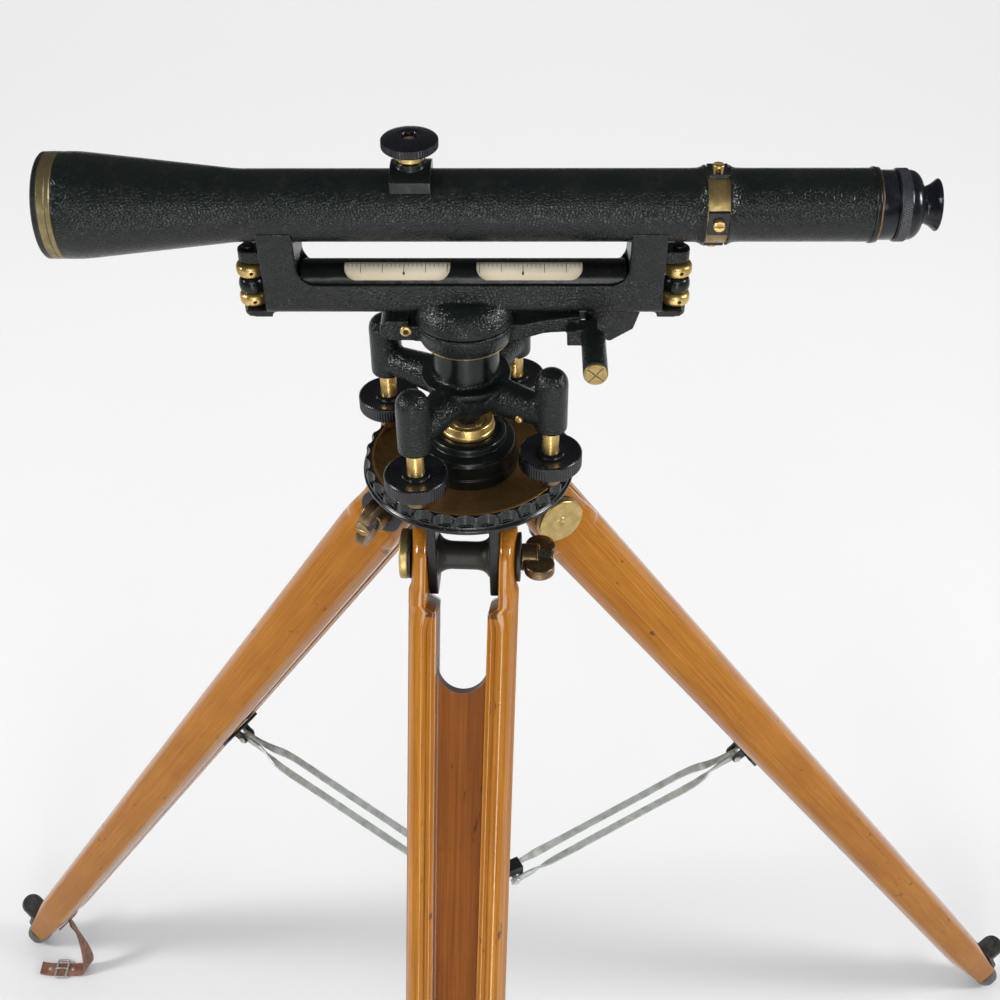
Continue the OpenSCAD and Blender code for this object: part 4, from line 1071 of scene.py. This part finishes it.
for leg in LEGS:
    down = leg_place(leg)
    sections = []
    for i in range(15):
        s = SHOE_S - 4 + i * (CAP_TIP - SHOE_S + 4) / 14
        toward_tip = max(0.0, (s - SHOE_S - 4) / (CAP_TIP + 1 - SHOE_S - 4))
        round_off = math.sqrt(max(0.02, 1 - toward_tip**2.4))
        clear = (PIVOT.z - s * math.cos(SPLAY) - FLOOR_GAP) / math.sin(SPLAY)
        loop = []
        for k in range(CAP_POINTS):
            angle = TAU * k / CAP_POINTS
            x = squared(math.cos(angle)) * (TOE_DEPTH + 0.8) * round_off
            y = squared(math.sin(angle)) * (TOE_OUT + 0.8) * round_off
            loop.append((max(x, -clear), y, -s))
        sections.append(loop)
    sweep(f"{leg}_toe_cap", sections, down, f"{leg}_leg", SHOE_IRON, (), 50)
    tread = [(TREAD_R - 14, -TREAD_HALF), (TREAD_R, -TREAD_HALF)]
    tread += arc(TREAD_R, 0, TREAD_HALF, -84, 84, 20) + [
        (TREAD_R, TREAD_HALF), (TREAD_R - 14, TREAD_HALF)]
    prism(
        f"{leg}_tread", tread, -TREAD_S - 7, -TREAD_S, down, f"{leg}_leg", SHOE_IRON, f"{leg}_leg_shoe",
        1.2)
    tongue = [
        (13.2, -SHOE_S - 10), (TOE_DEPTH + 5, -SHOE_S - 4), (TREAD_R - 8, -TREAD_S - 6.8),
        (TREAD_R - 13, -TREAD_S - 6.8), (TOE_DEPTH, -SHOE_S)]
    prism(
        f"{leg}_tread_tongue", tongue, -7, 7, inside(down, 0, 0, 0, turn("X", 90)), f"{leg}_leg",
        SHOE_IRON, (), 1.0)
frame["nodes"]["brace_hub"].data.materials[0] = BLACK_IRON

BRACE_SLOPE = 9
HUB_PIN_R = 30.0
for leg in LEGS:
    pin = joints[leg + "_brace_pivot"]
    pin_r = math.hypot(pin.x, pin.y)
    reach = (pin_r - HUB_PIN_R) / math.cos(math.radians(BRACE_SLOPE))
    outer = inside(at(0, 0, pin.z, turn("Z", azimuth(leg))), pin_r)
    toward_hub = inside(outer, 0, 0, 0, turn("Z", 180), turn("Y", BRACE_SLOPE))
    for side, label in ((-1, "a"), (1, "b")):
        # A strip's course: X, Y, and how far its width is turned from flat, in degrees.
        course = flow([
            (-5, 2.3, 90), (12, 2.3, 90), (26, 3.6, 60), (46, 7, 0), (90, 7, 0), (reach - 60, 7, 0),
            (reach - 32, 7, 20), (reach - 14, 7, 90), (reach + 4.5, 7, 90)])
        line = []
        for x, y, degrees in course:
            tilt = math.radians(degrees)
            line.append((Vector((x, side * y, 0)), Vector((0, math.cos(tilt), side * math.sin(tilt)))))
        sweep(
            f"{leg}_brace_strip_{label}", strip(line, 3.3, 0.95), toward_hub, f"{leg}_brace", ZINC,
            f"{leg}_brace" if side < 0 else (), 50)
    for name, x, half in (("outer", 0, 6.0), ("hub", reach, 8.6)):
        head = [(-half - 1.6, 0), (-half - 1.2, 2.6), (-half, 3.4), (-half, 2.3)]
        profile = eased(head + [(-s, r) for s, r in reversed(head)], 0.3)
        lathe(
            f"{leg}_brace_pin_{name}", profile, inside(toward_hub, x, 0, 0, Z_TO_Y), f"{leg}_brace",
            ZINC, (), 32)
    bracket_s = (PIVOT.z - pin.z) * math.cos(SPLAY) + (pin_r - PIVOT_R) * math.sin(SPLAY)
    inward = (PIVOT.z - pin.z) * math.sin(SPLAY) - (pin_r - PIVOT_R) * math.cos(SPLAY)
    foot = inside(leg_place(leg), -inward, 0, -bracket_s)
    flat = inward - rail_depth(bracket_s)
    against_leg = inside(foot, 0, 0, 0, turn("X", 90), turn("Y", 90))
    prism(
        f"{leg}_bracket_plate", eased(rectangle(19, 8), 3, True), flat - 2.4, flat - 0.05, against_leg,
        f"{leg}_leg", BLACK_IRON, f"{leg}_brace_bracket", 0.5)
    cheek = [(flat - 1.5, -6)] + arc(0, 0, 4.4, -90, -270, 12) + [(flat - 1.5, 6)]
    for side, label in ((-1, "a"), (1, "b")):
        low, high = sorted((side * 3.9, side * 5.7))
        prism(
            f"{leg}_bracket_cheek_{label}", cheek, low, high, inside(foot, 0, 0, 0, turn("X", 90)),
            f"{leg}_leg", BLACK_IRON, (), 0.4)

STRAP_S = 1150
STRAP_HALF = 9.5
STRAP_THICK = 1.2
strap_place = inside(leg_place("left"), 0, 0, -STRAP_S)
strap_x = rail_depth(STRAP_S) + STRAP_THICK + 0.2
strap_y = rail_outer(STRAP_S) + STRAP_THICK + 0.2
CORNER = 13.0
around = [(strap_x, 8), (strap_x, 0)] + arc(strap_x - CORNER, CORNER - strap_y, CORNER, 0, -90, 8)
around += arc(
    CORNER - strap_x, CORNER - strap_y, CORNER, -90, -180, 8) + [(-strap_x, 0), (-strap_x, 11)]
girth = [(Vector((x, y, 0)), Vector((0, 0, 1))) for x, y in around]
sweep(
    "strap_girth", strip(girth, STRAP_HALF, STRAP_THICK), strap_place, "left_leg", LEATHER, "leg_strap",
    50)
for k, y in enumerate((-8, 4)):
    nail = [(strap_x + 0.8, 0), (strap_x + 0.8, 2.6), (strap_x + 1.9, 1.8), (strap_x + 2.2, 0)]
    lathe(
        f"strap_nail_{k + 1}", eased(nail, 0.3), inside(strap_place, 0, y, 0, Z_TO_X), "left_leg",
        AGED_BRASS, (), 24)

# The tail from the leg down and along the floor: X, Z, and the angle of the band's width.
TAIL = flow([
    (-3.0, 112, 120), (1.0, 100, 118), (2.0, 85, 112), (3.5, 66, 98), (4.5, 46, 78), (4.0, 28, 62),
    (1.5, 14, 64), (-5.0, 6.0, 76), (-15, 3.6, 87), (-30, 3.0, 91), (-44, 3.4, 93), (-55, 5.0, 95),
    (-61, 7.5, 96)])
tail_r = PIVOT_R + STRAP_S * math.sin(SPLAY) - (strap_x + 4) / math.cos(SPLAY)
outward = math.radians(azimuth("left"))
tail_place = at(tail_r * math.cos(outward), tail_r * math.sin(outward), 0)
tail_line = [
    (Vector((x, 0, z)), Vector((math.cos(math.radians(a)), math.sin(math.radians(a)), 0)))
    for x, z, a in TAIL]
tail = sweep(
    "strap_tail", strip(tail_line, STRAP_HALF - 0.5, STRAP_THICK), tail_place, "left_leg", LEATHER, (),
    50)
holes = []
for i in range(11, 28, 4):  # stations along the hanging part
    point, across = tail_line[i]
    ahead = (tail_line[i + 1][0] - tail_line[i - 1][0]).normalized()
    facing = ahead.cross(across).to_track_quat("Z", "Y").to_matrix().to_4x4()
    holes.append(drill(-4, 4, 1.9, inside(tail_place, *point, facing), "left_leg"))
cut(tail, *holes)
buckle_place = inside(tail_place, -34, 0, 5.3)
buckle_path = eased(rectangle(7, 12), 3, True)
buckle = [(Vector((x, y, 0)), Vector((0, 0, 1))) for x, y in buckle_path + buckle_path[:1]]
sweep("strap_buckle", strip(buckle, 1.3, 1.2), buckle_place, "left_leg", ZINC, (), 50)
tongue = [
    (Vector((x, 0, z)), Vector((0, 1, 0))) for x, z in ((-8.5, 0.6), (-4, 1.7), (2, 1.9), (8.4, 0.9))]
sweep("strap_tongue", strip(tongue, 1.1, 0.8), buckle_place, "left_leg", ZINC, (), 50)
for k, x in enumerate((-50, -20)):
    lathe(
        f"strap_rivet_{k + 1}", eased([(0, 0), (0, 2.4), (0.9, 1.7), (1.2, 0)], 0.3),
        inside(tail_place, x, 0, 5.0 if x < -40 else 4.2), "left_leg", ZINC, (), 24)

# ---------------------------------------------------------------- stage, light and camera


def staged(name, verts, faces, material):
    """A piece of the studio, in metres."""
    mesh = bpy.data.meshes.new(name)
    mesh.from_pydata(verts, [], faces)
    mesh.materials.append(material)
    made = bpy.data.objects.new(name, mesh)
    bpy.context.scene.collection.objects.link(made)
    return made


# The paper is painted darker near the object and brighter with distance, a painted fall of light like
# that on a sheet curving up behind the object.
paper = Skin("studio_paper", "ash", Roughness=0.9)
distance = paper.math("ABSOLUTE", paper.node("SeparateXYZ", paper.where, out=1))
painted_light_tone = paper.ramp(
    paper.node("MapRange", distance, 300.0, 3700.0, 0.0, 1.0), (0.0, (0.580, 0.582, 0.587)),
    (0.2, (0.683, 0.683, 0.687)), (0.49, (0.806, 0.806, 0.808)), (1.0, (0.945, 0.945, 0.955)))
painted_light_tone = paper.mix(paper.ramp(paper.noise(0.002, 2), (0.3, 0.0), (0.7, 0.05)), painted_light_tone, (0.9, 0.9, 0.9))
FLOOR = 9.0
staged("floor", [(x, y, 0) for x, y in rectangle(FLOOR, FLOOR)], [(0, 1, 2, 3)], paper.done(painted_light_tone))

# A round pale wall and roof that only the camera sees, so every view has the same background; it glows
# though it is no lamp, painted brighter towards the top.
WALL = 8.8
WALL_TOP = 7.0
WALL_SIDES = 64
backdrop = Skin("studio_backdrop", "ash", Roughness=1.0, Emission_Strength=0.80)
# Painted light: the wall's glow rises from its foot to the roof.
painted_glow_height = backdrop.node(
    "MapRange", backdrop.node("SeparateXYZ", backdrop.where, out=2), 0.0, 2500.0, 0.0, 1.0)
glow = backdrop.ramp(painted_glow_height, (0.0, (0.90, 0.90, 0.91)), (1.0, (1.0, 1.0, 1.0)))
backdrop.tree.links.new(glow, backdrop.shader.inputs["Emission Color"])
angles = [TAU * i / WALL_SIDES for i in range(WALL_SIDES)]
wall_verts = [(WALL * math.cos(a), WALL * math.sin(a), z) for z in (0.0, WALL_TOP) for a in angles]
wall_faces = []
for i in range(WALL_SIDES):
    j = (i + 1) % WALL_SIDES
    wall_faces.append((i, j, j + WALL_SIDES, i + WALL_SIDES))
    wall_faces.append((i + WALL_SIDES, j + WALL_SIDES, 2 * WALL_SIDES))
wall = staged(
    "wall", wall_verts + [(0, 0, WALL_TOP)], wall_faces,
    backdrop.done(backdrop.ramp(painted_glow_height, (0.0, 0.02), (1.0, 0.04))))
for rays in ("diffuse", "glossy", "transmission", "shadow"):
    setattr(wall, "visible_" + rays, False)

world = bpy.data.worlds.new("studio")
bpy.context.scene.world = world
world.use_nodes = True
world.node_tree.nodes["Background"].inputs["Color"].default_value = (1.0, 1.0, 1.0, 1)
world.node_tree.nodes["Background"].inputs["Strength"].default_value = 0.10
AIM = Vector((0.0, 0.0, (DATUM + 60) * MM))


def lamp(name, kind, place, energy, shines=True, **settings):
    """A lamp aimed at the instrument."""
    data = bpy.data.lights.new(name, kind)
    data.energy = energy
    for key, value in settings.items():
        setattr(data, key, value)
    made = bpy.data.objects.new(name, data)
    bpy.context.scene.collection.objects.link(made)
    made.location = place
    made.rotation_euler = (AIM - Vector(place)).to_track_quat("-Z", "Y").to_euler()
    made.visible_glossy = shines


softbox = {"shape": "RECTANGLE", "size": 0.5, "size_y": 0.75}
lamp("softbox_left", "AREA", (-2.3, -0.45, 2.15), 52, **softbox)
lamp("softbox_right", "AREA", (2.3, -0.40, 2.15), 52, **softbox)
lamp("softbox_front", "AREA", (0.15, -2.7, 2.35), 20, shape="RECTANGLE", size=2.2, size_y=0.55)
lamp("strip_front", "AREA", (0.12, -2.6, 1.0), 19, shape="RECTANGLE", size=0.3, size_y=2.0)
lamp("ceiling", "SUN", (0.0, -0.4, 6.0), 2.2, shines=False, angle=math.radians(100))

CAMERA_AT = Vector((30.15, -693.12, 519.74 + DATUM)) * MM
PITCH, YAW, ROLL = 40.236, -0.909, -0.478
FOCAL_SHARE = 1.43537  # focal length over the frame's width
camera_data = bpy.data.cameras.new("camera")
camera_data.sensor_width = 36
camera_data.lens = 36 * FOCAL_SHARE
camera = bpy.data.objects.new("camera", camera_data)
bpy.context.scene.collection.objects.link(camera)
camera.matrix_world = (
    Matrix.Translation(CAMERA_AT) @ turn("Z", -YAW) @ turn("X", 90 - PITCH) @ turn("Z", ROLL))
bpy.context.scene.camera = camera
bpy.context.scene.view_settings.view_transform = "Standard"
